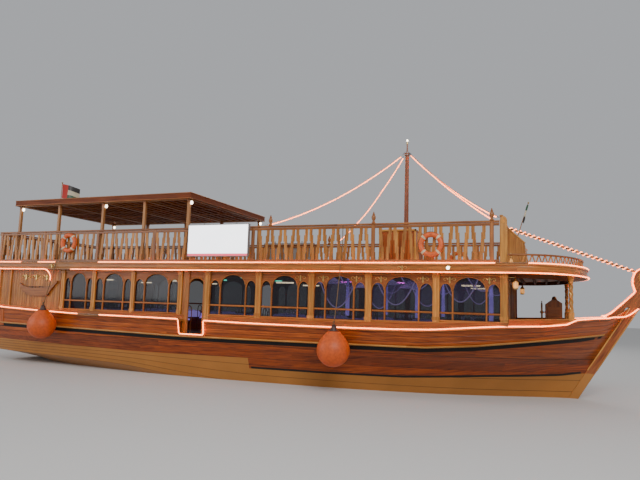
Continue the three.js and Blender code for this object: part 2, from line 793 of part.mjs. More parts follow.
// FRONT SCREEN: athwart wall at the front of the upper deck with a sloping hood and a round-headed
// post at each end.
const CORNER_POST = { x0: 7000, x1: 7170, y0: 2325, y1: 2455, shoulder: 4470, head: 100 };
const postHead = [
  [CORNER_POST.x0, UPPER_DECK + GAP],
  [CORNER_POST.x1, UPPER_DECK + GAP],
];
for (let k = 0; k <= 8; k++) {
  const a = (k * Math.PI) / 8;
  const middle = (CORNER_POST.x0 + CORNER_POST.x1) / 2;
  postHead.push([middle + 85 * Math.cos(a), CORNER_POST.shoulder + CORNER_POST.head * Math.sin(a)]);
}
const cornerPost = side(postHead, CORNER_POST.y0, CORNER_POST.y1);
const screen = box(7004, 7056, -2340, 2340, UPPER_DECK + 2, SCREEN_TOP - 40)
  .add(box(6990, 7072, -2332, 2332, SCREEN_TOP - 42, SCREEN_TOP))
  .add(cornerPost)
  .add(mirrored(cornerPost))
  .add(
    side(
      [
        [7030, UPPER_DECK + GAP],
        [7562, UPPER_DECK + GAP],
        [7562, 3665],
        [7535, 4035],
        [7160, 4448],
        [7030, 4530],
      ],
      -1000,
      1000,
    ),
  );
add("front_screen", screen, WOOD.hull);

// CANOPY: posts, side beams, cross beams and the lamps under them in one frame, and a boarded roof
// with a fascia.
const CANOPY_POSTS = [-9170, -7390, -5500, -3830, -2170];
const LAMP_PLACES = [-9110, -5420, -2100];
const LAMP_Y = 2300;
const postY = 2325;
let canopyFrame = box(-9230, -2085, postY - 45, postY + 45, 5366, 5440);
canopyFrame = canopyFrame.add(mirrored(canopyFrame));
for (const x of CANOPY_POSTS) {
  const post = box(x - 42, x + 42, postY - 42, postY + 42, UPPER_DECK + GAP, 5400);
  canopyFrame = canopyFrame.add(post).add(mirrored(post));
  canopyFrame = canopyFrame.add(box(x - 36, x + 36, -postY, postY, 5372, 5430));
}
for (const x of LAMP_PLACES) {
  const lamp = lathe(LAMP, x, LAMP_Y, 5322, 8);
  canopyFrame = canopyFrame.add(lamp).add(mirrored(lamp));
}
add("canopy_frame", canopyFrame, WOOD.light);
const roofPlan = [
  [CANOPY_AFT, -CANOPY_Y],
  [CANOPY_FORE, -CANOPY_Y],
  [CANOPY_FORE, CANOPY_Y],
  [CANOPY_AFT, CANOPY_Y],
];
const roofHole = [
  [
    [CANOPY_AFT + 50, -CANOPY_Y + 50],
    [CANOPY_FORE - 50, -CANOPY_Y + 50],
    [CANOPY_FORE - 50, CANOPY_Y - 50],
    [CANOPY_AFT + 50, CANOPY_Y - 50],
  ],
];
add(
  "canopy_roof",
  plan(roofPlan, CANOPY_BOTTOM, 5460, roofHole).add(plan(roofPlan, 5440 + GAP, CANOPY_TOP)),
  WOOD.dark,
);

// MAST AND ITS CABINET
add(
  "mast",
  bar([MAST_X, 0, UPPER_DECK + GAP], [MAST_X, 0, HOUNDS], 80, 20, 58)
    .add(bar([MAST_X, 0, HOUNDS - 20], [MAST_X, 0, MAST_TOP], 28, 12, 18))
    .add(bar([MAST_X, 0, HOUNDS - 60], [MAST_X, 0, HOUNDS + 20], 85, 16)),
  WOOD.dark,
);
add(
  "mast_cabinet",
  box(3420, 4500, -520, 520, UPPER_DECK + GAP, 4530)
    .add(box(3395, 4525, -545, 545, 4500, 4560))
    .add(box(3400, 4520, -540, 540, UPPER_DECK + 2, UPPER_DECK + 70))
    .subtract(bar([MAST_X, 0, 3000], [MAST_X, 0, 5000], 84, 20)),
  WOOD.hull,
);

// STAYS: wire ropes from the hounds, slack under the weight of the lights lashed to them.
const stayTop = HOUNDS - 20;
function slack(from, to, sag, radius = 10) {
  const rings = [];
  const steps = 8;
  for (let i = 0; i <= steps; i++) {
    const t = i / steps;
    const [x, y, z] = from.map((v, k) => v + (to[k] - v) * t);
    const low = z - 4 * sag * t * (1 - t);
    const ring = [];
    for (let k = 0; k < 6; k++) {
      const a = ((k + 0.5) * Math.PI) / 3;
      ring.push([x, y + radius * Math.cos(a), low + radius * Math.sin(a)]);
    }
    rings.push(ring);
  }
  return loft(rings);
}
const hound = (dx, y) => [MAST_X + dx, y, stayTop];
const SLACK_STAYS = [
  // name, aft end, fore end, sag
  ["screen_stay", hound(97, 0), [6994, -2392, 4538], 160],
  ["bow_stay_stbd", hound(82, -50), [6870, -2385, RAIL_TOP + 14], 110],
  ["aft_stay_port", [930, 2428, RAIL_TOP + 14], hound(-85, 48), 290],
  ["aft_stay_stbd", [490, -2385, RAIL_TOP + 14], hound(-85, -48), 290],
];
add("forestay", fitted(bar([7076, 0, 4600], [10330, 0, 3338], 9, 8), stem), 0x777777, 0.4, 1);
for (const [name, aft, fore, sag] of SLACK_STAYS) add(name, slack(aft, fore, sag), 0x777777, 0.4, 1);

// LIGHT-BOX SIGNS outside each rail.
const sign = box(-1990, 70, RAIL_Y + GAP, RAIL_Y + 110, 3580, 4530);
add("sign_port", sign, 0xf2f2f2, 0.4);
add("sign_stbd", mirrored(sign), 0xf2f2f2, 0.4);

// LIFEBUOYS hung on the rails.
const BUOYS = { fore: [5330, 3870], aft: [-6680, 4040] };
for (const [place, [x, z]] of Object.entries(BUOYS)) {
  const ring = new THREE.TorusGeometry(262, 73, 10, 24);
  ring.rotateX(Math.PI / 2);
  ring.translate(x, RAIL_Y + 73 + GAP, z);
  const buoy = solid(ring);
  add("lifebuoy_" + place + "_port", buoy, 0xe2531c);
  add("lifebuoy_" + place + "_stbd", mirrored(buoy), 0xe2531c);
}

// FENDERS: balloon fenders, each on its own rope.
const FENDERS = { fore: [2920, 1110], aft: [-7130, 1330] };
const BALL = 430;
for (const [place, [x, z]] of Object.entries(FENDERS)) {
  const profile = [[0, -BALL]];
  for (let k = 1; k <= 9; k++) {
    const a = -Math.PI / 2 + (k * Math.PI) / 12.5;
    profile.push([BALL * Math.cos(a), BALL * Math.sin(a)]);
  }
  profile.push([200, 470], [95, 590], [70, 640], [0, 640]);
  const lathe = new THREE.LatheGeometry(
    profile.map(([r, h]) => new THREE.Vector2(r, h)),
    20,
  );
  lathe.rotateX(Math.PI / 2);
  const i = stations.findIndex((row) => row[0] > x);
  const reach = Math.max(...[stations[i - 1], stations[i]].map((row) => sideY(row, 1250)));
  const y = reach + 46 + BALL;
  lathe.translate(x, y, z);
  const fender = solid(lathe).add(bar([x, y, z + 600], [x, BAND_Y + 14, UPPER_DECK - 60], 13, 8));
  add("fender_" + place + "_port", fender, 0xd9481c);
  add("fender_" + place + "_stbd", mirrored(fender), 0xd9481c);
}

// FORE POSTS: turned with a deep twist between plinth and capital, from the covering board to the
// upper deck.
const FORE_POST = { x: 8615, y: 1550, foot: 2330, head: 2980, radius: 44, wave: 10, turns: 3.5, steps: 17 };
const twistRings = [];
for (let i = 0; i <= FORE_POST.steps; i++) {
  const t = i / FORE_POST.steps;
  const h = FORE_POST.foot + (FORE_POST.head - FORE_POST.foot) * t;
  const ring = [];
  for (let k = 0; k < 8; k++) {
    const a = (k * Math.PI) / 4;
    const r = FORE_POST.radius + FORE_POST.wave * Math.cos(2 * (a + t * FORE_POST.turns * Math.PI));
    ring.push([h, r * Math.cos(a), r * Math.sin(a)]);
  }
  twistRings.push(ring);
}
const TURNINGS = [
  // low, high, radius low, radius high
  [2240, 2338, 60, 50],
  [2970, 3125, 46, 68],
];
let forePostRaw = loft(twistRings).rotate([0, -90, 0]).translate([FORE_POST.x, FORE_POST.y, 0]);
for (const [low, high, r0, r1] of TURNINGS) {
  const { x, y } = FORE_POST;
  forePostRaw = forePostRaw.add(bar([x, y, low], [x, y, high], r0, 10, r1));
}
const square = (half, z0, z1) =>
  box(FORE_POST.x - half, FORE_POST.x + half, FORE_POST.y - half, FORE_POST.y + half, z0, z1);
forePostRaw = forePostRaw.add(square(68, 2040, 2250)).add(square(75, 3120, BAND_BOTTOM - GAP));
const forePost = fitted(forePostRaw, bulwarkPort);
add("fore_post_port", forePost, WOOD.light);
add("fore_post_stbd", mirrored(forePost), WOOD.light);

// HELM: console and spoked wheel.
const WHEEL = [7930, 0, 2250];
add(
  "helm_console",
  side(
    [
      [8010, DECK + GAP],
      [8450, DECK + GAP],
      [8450, 2502],
      [8302, 2602],
      [8198, 2602],
      [8010, 2464],
    ],
    -300,
    300,
  ).subtract(bar([7900, 0, WHEEL[2]], [8150, 0, WHEEL[2]], 28, 12)),
  WOOD.dark,
);
const wheelRim = new THREE.TorusGeometry(240, 18, 6, 24);
wheelRim.rotateY(Math.PI / 2);
wheelRim.translate(...WHEEL);
let wheel = solid(wheelRim)
  .add(bar([7895, 0, WHEEL[2]], [7975, 0, WHEEL[2]], 50, 12))
  .add(bar([7960, 0, WHEEL[2]], [8140, 0, WHEEL[2]], 20, 12));
for (let k = 0; k < 4; k++) {
  const a = (k * Math.PI) / 4;
  const [dy, dz] = [310 * Math.cos(a), 310 * Math.sin(a)];
  wheel = wheel.add(
    bar([WHEEL[0], -dy, WHEEL[2] - dz], [WHEEL[0], dy, WHEEL[2] + dz], 12, 8),
  );
}
add("helm_wheel", wheel, WOOD.light);

// FLAG POLES
add("ensign_staff", bar([-9860, 0, UPPER_DECK + GAP], [-9830, 0, 6770], 22, 12, 14), WOOD.light);
add("bow_pole", fitted(bar([7310, -60, 4330], [7610, -60, 5310], 14, 10, 9), screen), WOOD.light);

export default dhow;
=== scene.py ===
import math
import random

import bpy
from mathutils import Matrix, Vector


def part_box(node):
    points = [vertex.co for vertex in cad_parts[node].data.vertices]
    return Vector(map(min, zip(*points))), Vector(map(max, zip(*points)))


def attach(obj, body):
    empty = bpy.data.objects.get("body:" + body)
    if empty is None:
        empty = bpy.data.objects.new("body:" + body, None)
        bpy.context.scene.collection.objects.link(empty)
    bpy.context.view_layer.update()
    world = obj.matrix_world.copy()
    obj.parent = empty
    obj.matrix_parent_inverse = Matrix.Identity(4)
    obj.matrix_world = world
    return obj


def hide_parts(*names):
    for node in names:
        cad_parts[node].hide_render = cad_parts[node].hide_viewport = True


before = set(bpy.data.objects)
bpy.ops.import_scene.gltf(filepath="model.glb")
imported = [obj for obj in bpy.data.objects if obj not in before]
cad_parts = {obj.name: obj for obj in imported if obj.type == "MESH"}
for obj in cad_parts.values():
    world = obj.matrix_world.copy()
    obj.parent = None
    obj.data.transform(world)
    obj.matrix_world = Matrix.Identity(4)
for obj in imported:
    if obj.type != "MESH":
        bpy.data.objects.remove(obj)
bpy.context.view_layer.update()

# CAMERA
# The boat is seen from the starboard bow quarter, from a low bank about two metres above the
# water, with the lens of a compact camera held nearly level.
LENS_PX = 570.1
FRAME_PX = 640
VIEWPOINT = Vector((8.019, -16.983, 2.266))
LOOK_RIGHT = Vector((0.9305, 0.3651, 0.0310)).normalized()
LOOK_UP = Vector((0.0124, -0.1160, 0.9932)).normalized()
view_camera = bpy.data.cameras.new("view_camera")
view_camera.sensor_width = 36
view_camera.lens = 36 * LENS_PX / FRAME_PX
view_camera.clip_end = 500
viewer = bpy.data.objects.new("viewer", view_camera)
look_back = LOOK_RIGHT.cross(LOOK_UP)
turn = Matrix((LOOK_RIGHT, LOOK_UP, look_back)).transposed().to_4x4()
viewer.matrix_world = Matrix.Translation(VIEWPOINT) @ turn
bpy.context.scene.collection.objects.link(viewer)
bpy.context.scene.camera = viewer

# HULL PLANKING
# The hull is carvel planked: long teak strakes on sawn frames, edge to edge, with caulked seams
# payed flush, varnished above and painted tan below the boot line. The strakes are spiked to the
# frames and butt on staggered frames, so each run changes tone where one plank ends.
random.seed(41)
STATIONS = [
    # x, keel y, keel z, floor y, floor z, turn y, turn z, paint y, deck y, gunwale y, gunwale z
    (-9.90, 0.06, 0.04, 0.13, 0.055, 2.06, 0.37, 2.17, 2.23, 2.29, 1.92),
    (-9.00, 0.06, -0.11, 0.13, -0.095, 2.15, 0.35, 2.26, 2.33, 2.40, 1.84),
    (-8.45, 0.06, -0.215, 0.13, -0.20, 2.19, 0.34, 2.30, 2.37, 2.43, 1.815),
    (-8.25, 0.09, -1.0, 0.13, -0.33, 2.20, 0.335, 2.31, 2.38, 2.44, 1.805),
    (-7.50, 0.09, -1.0, 0.17, -0.52, 2.24, 0.325, 2.35, 2.42, 2.48, 1.775),
    (-6.00, 0.09, -1.0, 0.33, -0.76, 2.29, 0.29, 2.40, 2.46, 2.52, 1.73),
    (-4.00, 0.09, -1.0, 0.70, -0.85, 2.29, 0.19, 2.42, 2.49, 2.56, 1.72),
    (-2.30, 0.09, -1.0, 1.00, -0.86, 2.15, -0.02, 2.40, 2.50, 2.58, 1.71),
    (0.00, 0.09, -1.0, 1.10, -0.86, 1.95, -0.25, 2.33, 2.49, 2.59, 1.68),
    (2.90, 0.09, -1.0, 0.95, -0.86, 1.65, -0.30, 2.20, 2.45, 2.59, 1.68),
    (5.00, 0.09, -1.0, 0.65, -0.85, 1.20, -0.32, 1.88, 2.29, 2.55, 1.72),
    (6.00, 0.09, -1.0, 0.45, -0.84, 0.90, -0.33, 1.56, 2.05, 2.46, 1.83),
    (7.00, 0.09, -1.0, 0.26, -0.82, 0.53, -0.34, 1.09, 1.56, 2.03, 1.93),
    (7.55, 0.09, -1.0, 0.18, -0.80, 0.34, -0.34, 0.74, 1.12, 1.55, 2.07),
    (8.00, 0.09, -1.0, 0.125, -0.78, 0.21, -0.34, 0.44, 0.69, 0.98, 2.13),
    (8.30, 0.09, -1.0, 0.105, -0.77, 0.14, -0.34, 0.25, 0.39, 0.62, 2.17),
    (8.55, 0.08, -1.0, 0.082, -0.77, 0.084, -0.34, 0.088, 0.09, 0.095, 2.42),
]
HULL_AFT, HULL_FORE = -9.90, 8.55
PAINT_Z = 0.70
EDGE_Z = 1.11
HULL_TOP = 1.06
STRAKES_A_SPAN = (3, 3, 4, 2)
SEAM = 0.011
SEAM_DEPTH = 0.009
BOOT_LINE = [
    (0.16, 0.39), (2.3, 0.395), (4.48, 0.41), (6.49, 0.525), (8.35, 0.595), (8.80, 0.66), (9.6, 0.72),
]
# The black line runs along the top of the paint, from the high panel aft to the stem.
BOOT_STRIPE = 0.058
BOOT_SPAN = (0.17, 8.87)
BOOT_START = 0.16
BOOT_BLACK = (0.006, 0.006, 0.006)
PAINT_STEEP = 4.0
TAN_LINE_AFT = [(-11.0, 0.79), (-9.40, 0.76), (-3.76, 0.66), (0.16, 0.69)]


def eased(a, b, v):
    t = min(max((v - a) / (b - a), 0.0), 1.0)
    return t * t * (3 - 2 * t)


def raked(x, z):
    return x + 0.62 * z * eased(3.5, HULL_FORE, x) - 0.28 * z * eased(7.0, 9.9, -x)


def along(table, x):
    if x <= table[0][0]:
        return table[0][1]
    for (x0, v0), (x1, v1) in zip(table, table[1:]):
        if x <= x1:
            return v0 + (v1 - v0) * (x - x0) / (x1 - x0)
    return table[-1][1]


def fair(b, c, leaving, arriving, t):
    """A fair curve from b to c that leaves and arrives at the given rates."""
    t2, t3 = t * t, t * t * t
    v = (2 * t3 - 3 * t2 + 1) * b + (t3 - 2 * t2 + t) * leaving
    return v + (3 * t2 - 2 * t3) * c + (t3 - t2) * arriving


def station(x):
    """The hull's measures at a place between two stations."""
    rows = STATIONS
    i = max(k for k in range(len(rows) - 1) if rows[k][0] <= x + 1e-9)
    a, b = rows[max(i - 1, 0)], rows[i]
    c, d = rows[i + 1], rows[min(i + 2, len(rows) - 1)]
    span = c[0] - b[0]
    t = (x - b[0]) / span
    if x <= -8.25 or span < 0.2:
        return tuple(b[k] + (c[k] - b[k]) * t for k in range(len(b)))
    row = []
    for k in range(len(b)):
        m1 = (c[k] - a[k]) / (c[0] - a[0]) * span if c[0] > a[0] else c[k] - b[k]
        m2 = (d[k] - b[k]) / (d[0] - b[0]) * span if d[0] > b[0] else c[k] - b[k]
        row.append(fair(b[k], c[k], m1, m2, t))
    row[0] = x
    return tuple(row)


def side_y(row, z):
    if z <= EDGE_Z:
        return row[7] + (row[8] - row[7]) * (z - PAINT_Z) / (EDGE_Z - PAINT_Z)
    return row[8] + (row[9] - row[8]) * (z - EDGE_Z) / (row[10] - EDGE_Z)


def section_point(row, v):
    """A point (y, z) of the planked section, v from 0 at the keel's edge to 5 at the deck."""
    fy, fz, ty, tz = row[3:7]
    mid = ((fy + ty) * 0.5 + (ty - fy) * 0.06, (fz + tz) * 0.5 - 0.04 * min(1.0, fy / 0.9))
    marks = [(row[1], row[2]), (fy, fz), mid, (ty, tz), (row[7], PAINT_Z)]
    marks.append((side_y(row, HULL_TOP), HULL_TOP))
    i = min(int(v), 4)
    t = v - i
    b, c = marks[i], marks[i + 1]
    straight = [b[k] + (c[k] - b[k]) * t for k in (0, 1)]
    share = eased(-6.5, -1.0, row[0])
    if i == 0 or share == 0:
        return straight
    a = marks[i - 1] if i > 1 else b
    d = marks[i + 2] if i + 2 < len(marks) else c
    fairing = []
    for k in (0, 1):
        fairing.append(fair(b[k], c[k], (c[k] - a[k]) * 0.4, (d[k] - b[k]) * 0.4, t))
    return [straight[k] + (fairing[k] - straight[k]) * share for k in (0, 1)]


class Mesh:
    """Points, faces, grain coordinates in metres and a tone for each face of one piece."""

    def __init__(self):
        self.points = []
        self.faces = []
        self.grain = []
        self.tone = []

    def face(self, corners, grain, tone):
        self.faces.append(corners)
        self.grain.append(grain)
        self.tone.append(tone if isinstance(tone, list) else [tone] * len(corners))

    def caps(self, near, far, count, tone, grain=None):
        """Closes both ends of a swept form; near and far are the ends' first points."""
        grain = grain or [(0, 0)] * count
        self.face([near + k for k in range(count)][::-1], grain[::-1], tone)
        self.face([far + k for k in range(count)], grain, tone)

    def place(self, name, finish, body="boat", smooth=False, slot=None, replaces=()):
        data = bpy.data.meshes.new(name)
        data.from_pydata([tuple(p) for p in self.points], [], self.faces)
        layer = data.uv_layers.new(name="grain")
        layer.data.foreach_set("uv", [c for face in self.grain for uv in face for c in uv])
        board = data.color_attributes.new("board", "FLOAT_COLOR", "CORNER")
        tones = [c if isinstance(c, tuple) else (c, 0.0) for face in self.tone for c in face]
        board.data.foreach_set("color", [v for t in tones for v in (t[0], t[1], 0.0, 1.0)])
        data.polygons.foreach_set("use_smooth", [bool(smooth)] * len(data.polygons))
        data.materials.append(finish)
        data.validate()
        data.update()
        made = bpy.data.objects.new(name, data)
        bpy.context.scene.collection.objects.link(made)
        if smooth:
            sharp = made.modifiers.new("edges", "EDGE_SPLIT")
            sharp.split_angle = math.radians(38)
        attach(made, body)
        if replaces:
            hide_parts(*replaces)
        return made


class Finish:
    """A material in the making. Each method adds a node and gives back its output. An input is
    wired when it is given an output, and set when it is given a value."""

    def __init__(self, name):
        self.material = bpy.data.materials.new(name)
        self.material.use_nodes = True
        self.tree = self.material.node_tree
        self.shader = self.tree.nodes["Principled BSDF"]

    def feed(self, target, inputs):
        for key, value in inputs.items():
            socket = target.inputs[key]
            if isinstance(value, bpy.types.NodeSocket):
                self.tree.links.new(value, socket)
            else:
                socket.default_value = (*value, 1) if socket.type == "RGBA" else value

    def add(self, kind, inputs, out=0, **settings):
        made = self.tree.nodes.new(kind)
        for key, value in settings.items():
            setattr(made, key, value)
        self.feed(made, inputs)
        return made.outputs[out]

    def where(self):
        return self.add("ShaderNodeTexCoord", {}, "Object")

    def axis(self, k):
        return self.add("ShaderNodeSeparateXYZ", {0: self.where()}, k)

    def stretched(self, where, scale):
        return self.add("ShaderNodeMapping", {0: where, "Scale": scale})

    def noise(self, where, scale, detail=2.0):
        place = {} if where is None else {"Vector": where}
        return self.add("ShaderNodeTexNoise", {**place, "Scale": scale, "Detail": detail})

    def reckon(self, operation, *terms):
        return self.add("ShaderNodeMath", dict(enumerate(terms)), operation=operation)

    def mix(self, factor, a, b, how="MIX"):
        inputs = {"Factor": factor, "A": a, "B": b}
        return self.add("ShaderNodeMix", inputs, "Result", data_type="RGBA", blend_type=how)

    def ranged(self, value, low, high, start=0.0, end=1.0):
        inputs = {0: value, "From Min": start, "From Max": end, "To Min": low, "To Max": high}
        return self.add("ShaderNodeMapRange", inputs)

    def ramp(self, value, low, high, start=0.0, end=1.0):
        made = self.tree.nodes.new("ShaderNodeValToRGB")
        first, last = made.color_ramp.elements
        first.position, last.position = start, end
        first.color, last.color = (*low, 1), (*high, 1)
        self.feed(made, {0: value})
        return made.outputs[0]

    def bump(self, height, strength, distance):
        inputs = {"Height": height, "Strength": strength, "Distance": distance}
        return self.add("ShaderNodeBump", inputs)

    def done(self, inputs):
        self.feed(self.shader, inputs)
        return self.material


def varnished(name, dark, light, grain="uv", rough=0.34, coat=0.35, wear=0.5, paint=None):
    """Oiled or varnished wood: growth rings drawn out along the grain, pores, a tone for each
    board, darker seams, and greyer dry patches."""
    wood = Finish(name)
    boarded = 1.0 if grain == "uv" else 0.0
    where = wood.add("ShaderNodeUVMap", {}, uv_map="grain") if boarded else wood.where()
    lie = {"z": (0, math.pi / 2, 0)}.get(grain, (0, 0, 0))
    where = wood.add("ShaderNodeMapping", {0: where, "Rotation": lie})
    marks = wood.add("ShaderNodeAttribute", {}, "Color", attribute_name="board")
    tone, seam = [wood.add("ShaderNodeSeparateColor", {0: marks}, k) for k in (0, 1)]
    ringed = {"Vector": wood.stretched(where, (0.9, 16, 16)), "W": wood.reckon("MULTIPLY", tone, 37.0)}
    ringed.update({"Scale": 1.6, "Detail": 6, "Roughness": 0.62, "Distortion": 0.5})
    rings = wood.add("ShaderNodeTexNoise", ringed, noise_dimensions="4D")
    patches = wood.noise(where, 1.3, 4)
    pores = wood.noise(wood.stretched(where, (7, 150, 150)), 1.0, 3)
    colour = wood.ramp(rings, dark, light, 0.34, 0.68)
    colour = wood.mix(boarded, colour, wood.ranged(tone, 0.62, 1.34), "MULTIPLY")
    grey = [0.8 * c + 0.2 * sum(light) / 3 for c in light]
    colour = wood.mix(wood.ranged(patches, 0.0, 0.55 * wear, 0.5, 0.8), colour, grey)
    if paint:
        level = wood.add("ShaderNodeAttribute", {}, "Fac", attribute_name="paint")
        middle, half = sum(BOOT_SPAN) / 2, (BOOT_SPAN[1] - BOOT_SPAN[0]) / 2
        lined = wood.reckon("COMPARE", wood.axis(0), middle, half)
        above = wood.reckon("GREATER_THAN", level, 0.5 - PAINT_STEEP * BOOT_STRIPE)
        colour = wood.mix(wood.reckon("MULTIPLY", lined, above), colour, BOOT_BLACK)
        mottled = wood.ramp(patches, [c * 0.74 for c in paint], [c * 1.15 for c in paint])
        colour = wood.mix(wood.reckon("GREATER_THAN", level, 0.5), colour, mottled)
    caulked = wood.reckon("MULTIPLY", seam, 0.9 * boarded)
    return wood.done({
        "Base Color": wood.mix(caulked, colour, (0.018, 0.012, 0.009)),
        "Roughness": wood.ranged(patches, rough - 0.07, rough + 0.22),
        "Specular IOR Level": 0.3,
        "Coat Weight": coat * 0.5,
        "Coat Roughness": 0.16,
        "Normal": wood.bump(wood.reckon("ADD", rings, pores), 0.35, 0.004),
    })


TAN = (0.43, 0.175, 0.036)
planking_teak = varnished(
    "planking_teak", (0.11, 0.016, 0.003), (0.40, 0.078, 0.010), rough=0.3, coat=0.5, paint=TAN
)

strake_rows = [(0.0, 0.0, 0)]
strake = 0
for span, count in enumerate(STRAKES_A_SPAN, start=1):
    for k in range(count):
        low, high = span + k / count, span + (k + 1) / count
        strake_rows.append((low, 1.0, strake))
        strake_rows.append((low, 0.0, strake))
        strake_rows.append(((low + high) / 2, 0.0, strake))
        strake_rows.append((high, 0.0, strake))
        strake += 1
strake_rows.append((5.0, 1.0, strake - 1))

hull_x = []
x = HULL_AFT
while x < HULL_FORE:
    hull_x.append(x)
    x += 0.115 if x > 6.5 or x < -8.2 else 0.23
hull_x.append(HULL_FORE)
for fixed in (-9.0, -8.45, -8.25):
    near = min(range(len(hull_x)), key=lambda k: abs(hull_x[k] - fixed))
    hull_x[near] = fixed


def hull_surface(x):
    """The points of one station's planking, from the keel up to the deck's edge."""
    row = station(x)
    bare = [section_point(row, v) for v, _, _ in strake_rows]
    girth = [0.0]
    for a, b in zip(bare, bare[1:]):
        girth.append(girth[-1] + math.hypot(b[0] - a[0], b[1] - a[1]))
    points = []
    for k, (v, groove, _) in enumerate(strake_rows):
        y, z = bare[k]
        lo, hi = bare[max(k - 1, 0)], bare[min(k + 1, len(bare) - 1)]
        dy, dz = hi[0] - lo[0], hi[1] - lo[1]
        size = math.hypot(dy, dz) or 1.0
        dy, dz = dy / size, dz / size
        if k and not groove and k + 1 < len(strake_rows):
            if strake_rows[k - 1][1]:
                y, z = y + dy * SEAM, z + dz * SEAM
            elif strake_rows[k + 1][1]:
                y, z = y - dy * SEAM, z - dz * SEAM
        if groove:
            y, z = y - dz * SEAM_DEPTH, z + dy * SEAM_DEPTH
        points.append((max(y, 0.03), z))
    return row, points, girth


planking = Mesh()
columns = []
for x in hull_x:
    row, points, girth = hull_surface(x)
    start = len(planking.points)
    for y, z in points:
        planking.points.append((raked(x, z), -y, z))
    for y, z in points:
        planking.points.append((raked(x, z), y, z))
    columns.append((x, start, girth))
rows_a_side = len(strake_rows)
butts = {s: random.uniform(0, 5) for s in range(strake)}
plank_tone = {}


def plank_of(s, x):
    key = (s, int((x + 20 + butts[s]) / 5.1))
    if key not in plank_tone:
        plank_tone[key] = random.uniform(0.15, 0.85)
    return plank_tone[key]


for (xa, a, ga), (xb, b, gb) in zip(columns, columns[1:]):
    for mirror in (0, 1):
        off = mirror * rows_a_side
        for k in range(rows_a_side - 1):
            quad = [a + off + k, b + off + k, b + off + k + 1, a + off + k + 1]
            grain = [(xa, ga[k]), (xb, gb[k]), (xb, gb[k + 1]), (xa, ga[k + 1])]
            s = strake_rows[k + 1][2] if strake_rows[k][1] == 0 else strake_rows[k][2]
            t = plank_of(s, (xa + xb) / 2)
            edge = (strake_rows[k][1], strake_rows[k + 1][1])
            tone = [(t, edge[0]), (t, edge[0]), (t, edge[1]), (t, edge[1])]
            if mirror:
                quad, grain, tone = quad[::-1], grain[::-1], tone[::-1]
            planking.face(quad, grain, tone)
for (x, start, girth), forward in ((columns[0], False), (columns[-1], True)):
    for k in range(rows_a_side - 1):
        s, p = start + k, start + rows_a_side + k
        quad = [s, p, p + 1, s + 1] if forward else [s, s + 1, p + 1, p]
        planking.face(quad, [(0, 0), (2, 0), (2, 0.2), (0, 0.2)], 0.5)
hull_planking = planking.place(
    "hull_planking", planking_teak, smooth=True, slot="varnished_planks", replaces=["hull"]
)


def painted_below(x, z):
    if x < BOOT_START:
        return along(TAN_LINE_AFT, x) - z
    return along(BOOT_LINE, x) - z


def paint_zones(piece):
    """Marks each corner of a piece as bare or as painted tan, by the boot line's height there."""
    data = piece.data
    level = data.attributes.new("paint", "FLOAT", "CORNER")
    values = []
    for face in data.polygons:
        for v in face.vertices:
            co = data.vertices[v].co
            aft = face.center.x < BOOT_START
            x = min(co.x, BOOT_START - 0.001) if aft else max(co.x, BOOT_START + 0.001)
            values.append(0.5 + PAINT_STEEP * painted_below(x, co.z))
    level.data.foreach_set("value", values)


paint_zones(hull_planking)

# BULWARKS, RUB STRAKE AND COVERING BOARD
# Above the deck's edge the sides are built up in three planks on the frame heads, with a pale
# half-round rub strake over a black painted line, and a wide covering board bolted on top.
# Both sides are cut down to a sill where people step aboard.
RUB_STRAKE = [
    (-9.9, 1.33), (-9.0, 1.31), (-6.0, 1.265), (-2.3, 1.21), (0.0, 1.22), (5.0, 1.265),
    (6.0, 1.36), (7.0, 1.52), (7.55, 1.60), (8.0, 1.66), (8.3, 1.70), (8.55, 1.73),
]
STRAKE_HALF = 0.028
BLACK_BAND = 0.095
CAP = 0.06
CAP_OVERHANG = 0.045
SIDE_NAME = {1: "port", -1: "stbd"}
NOTCH = (-2.12, -1.245)
NOTCH_SILL = 1.27
bulwark_teak = varnished(
    "bulwark_teak", (0.16, 0.025, 0.004), (0.54, 0.120, 0.015), rough=0.28, coat=0.55, wear=0.3
)
strake_wood = varnished("strake_wood", (0.42, 0.16, 0.030), (0.74, 0.36, 0.085), rough=0.3, coat=0.5)
cap_wood = varnished("cap_wood", (0.24, 0.075, 0.016), (0.54, 0.215, 0.048), rough=0.32, coat=0.45)


def black_paint(name):
    paint = Finish(name)
    colour = paint.ramp(paint.noise(None, 6), (0.004, 0.004, 0.005), (0.014, 0.012, 0.011))
    return paint.done({"Base Color": colour, "Roughness": 0.42, "Specular IOR Level": 0.2})


gloss_black = black_paint("gloss_black")


def spread(x0, x1, step):
    count = max(int(math.ceil((x1 - x0) / step)), 1)
    return [x0 + (x1 - x0) * k / count for k in range(count + 1)]


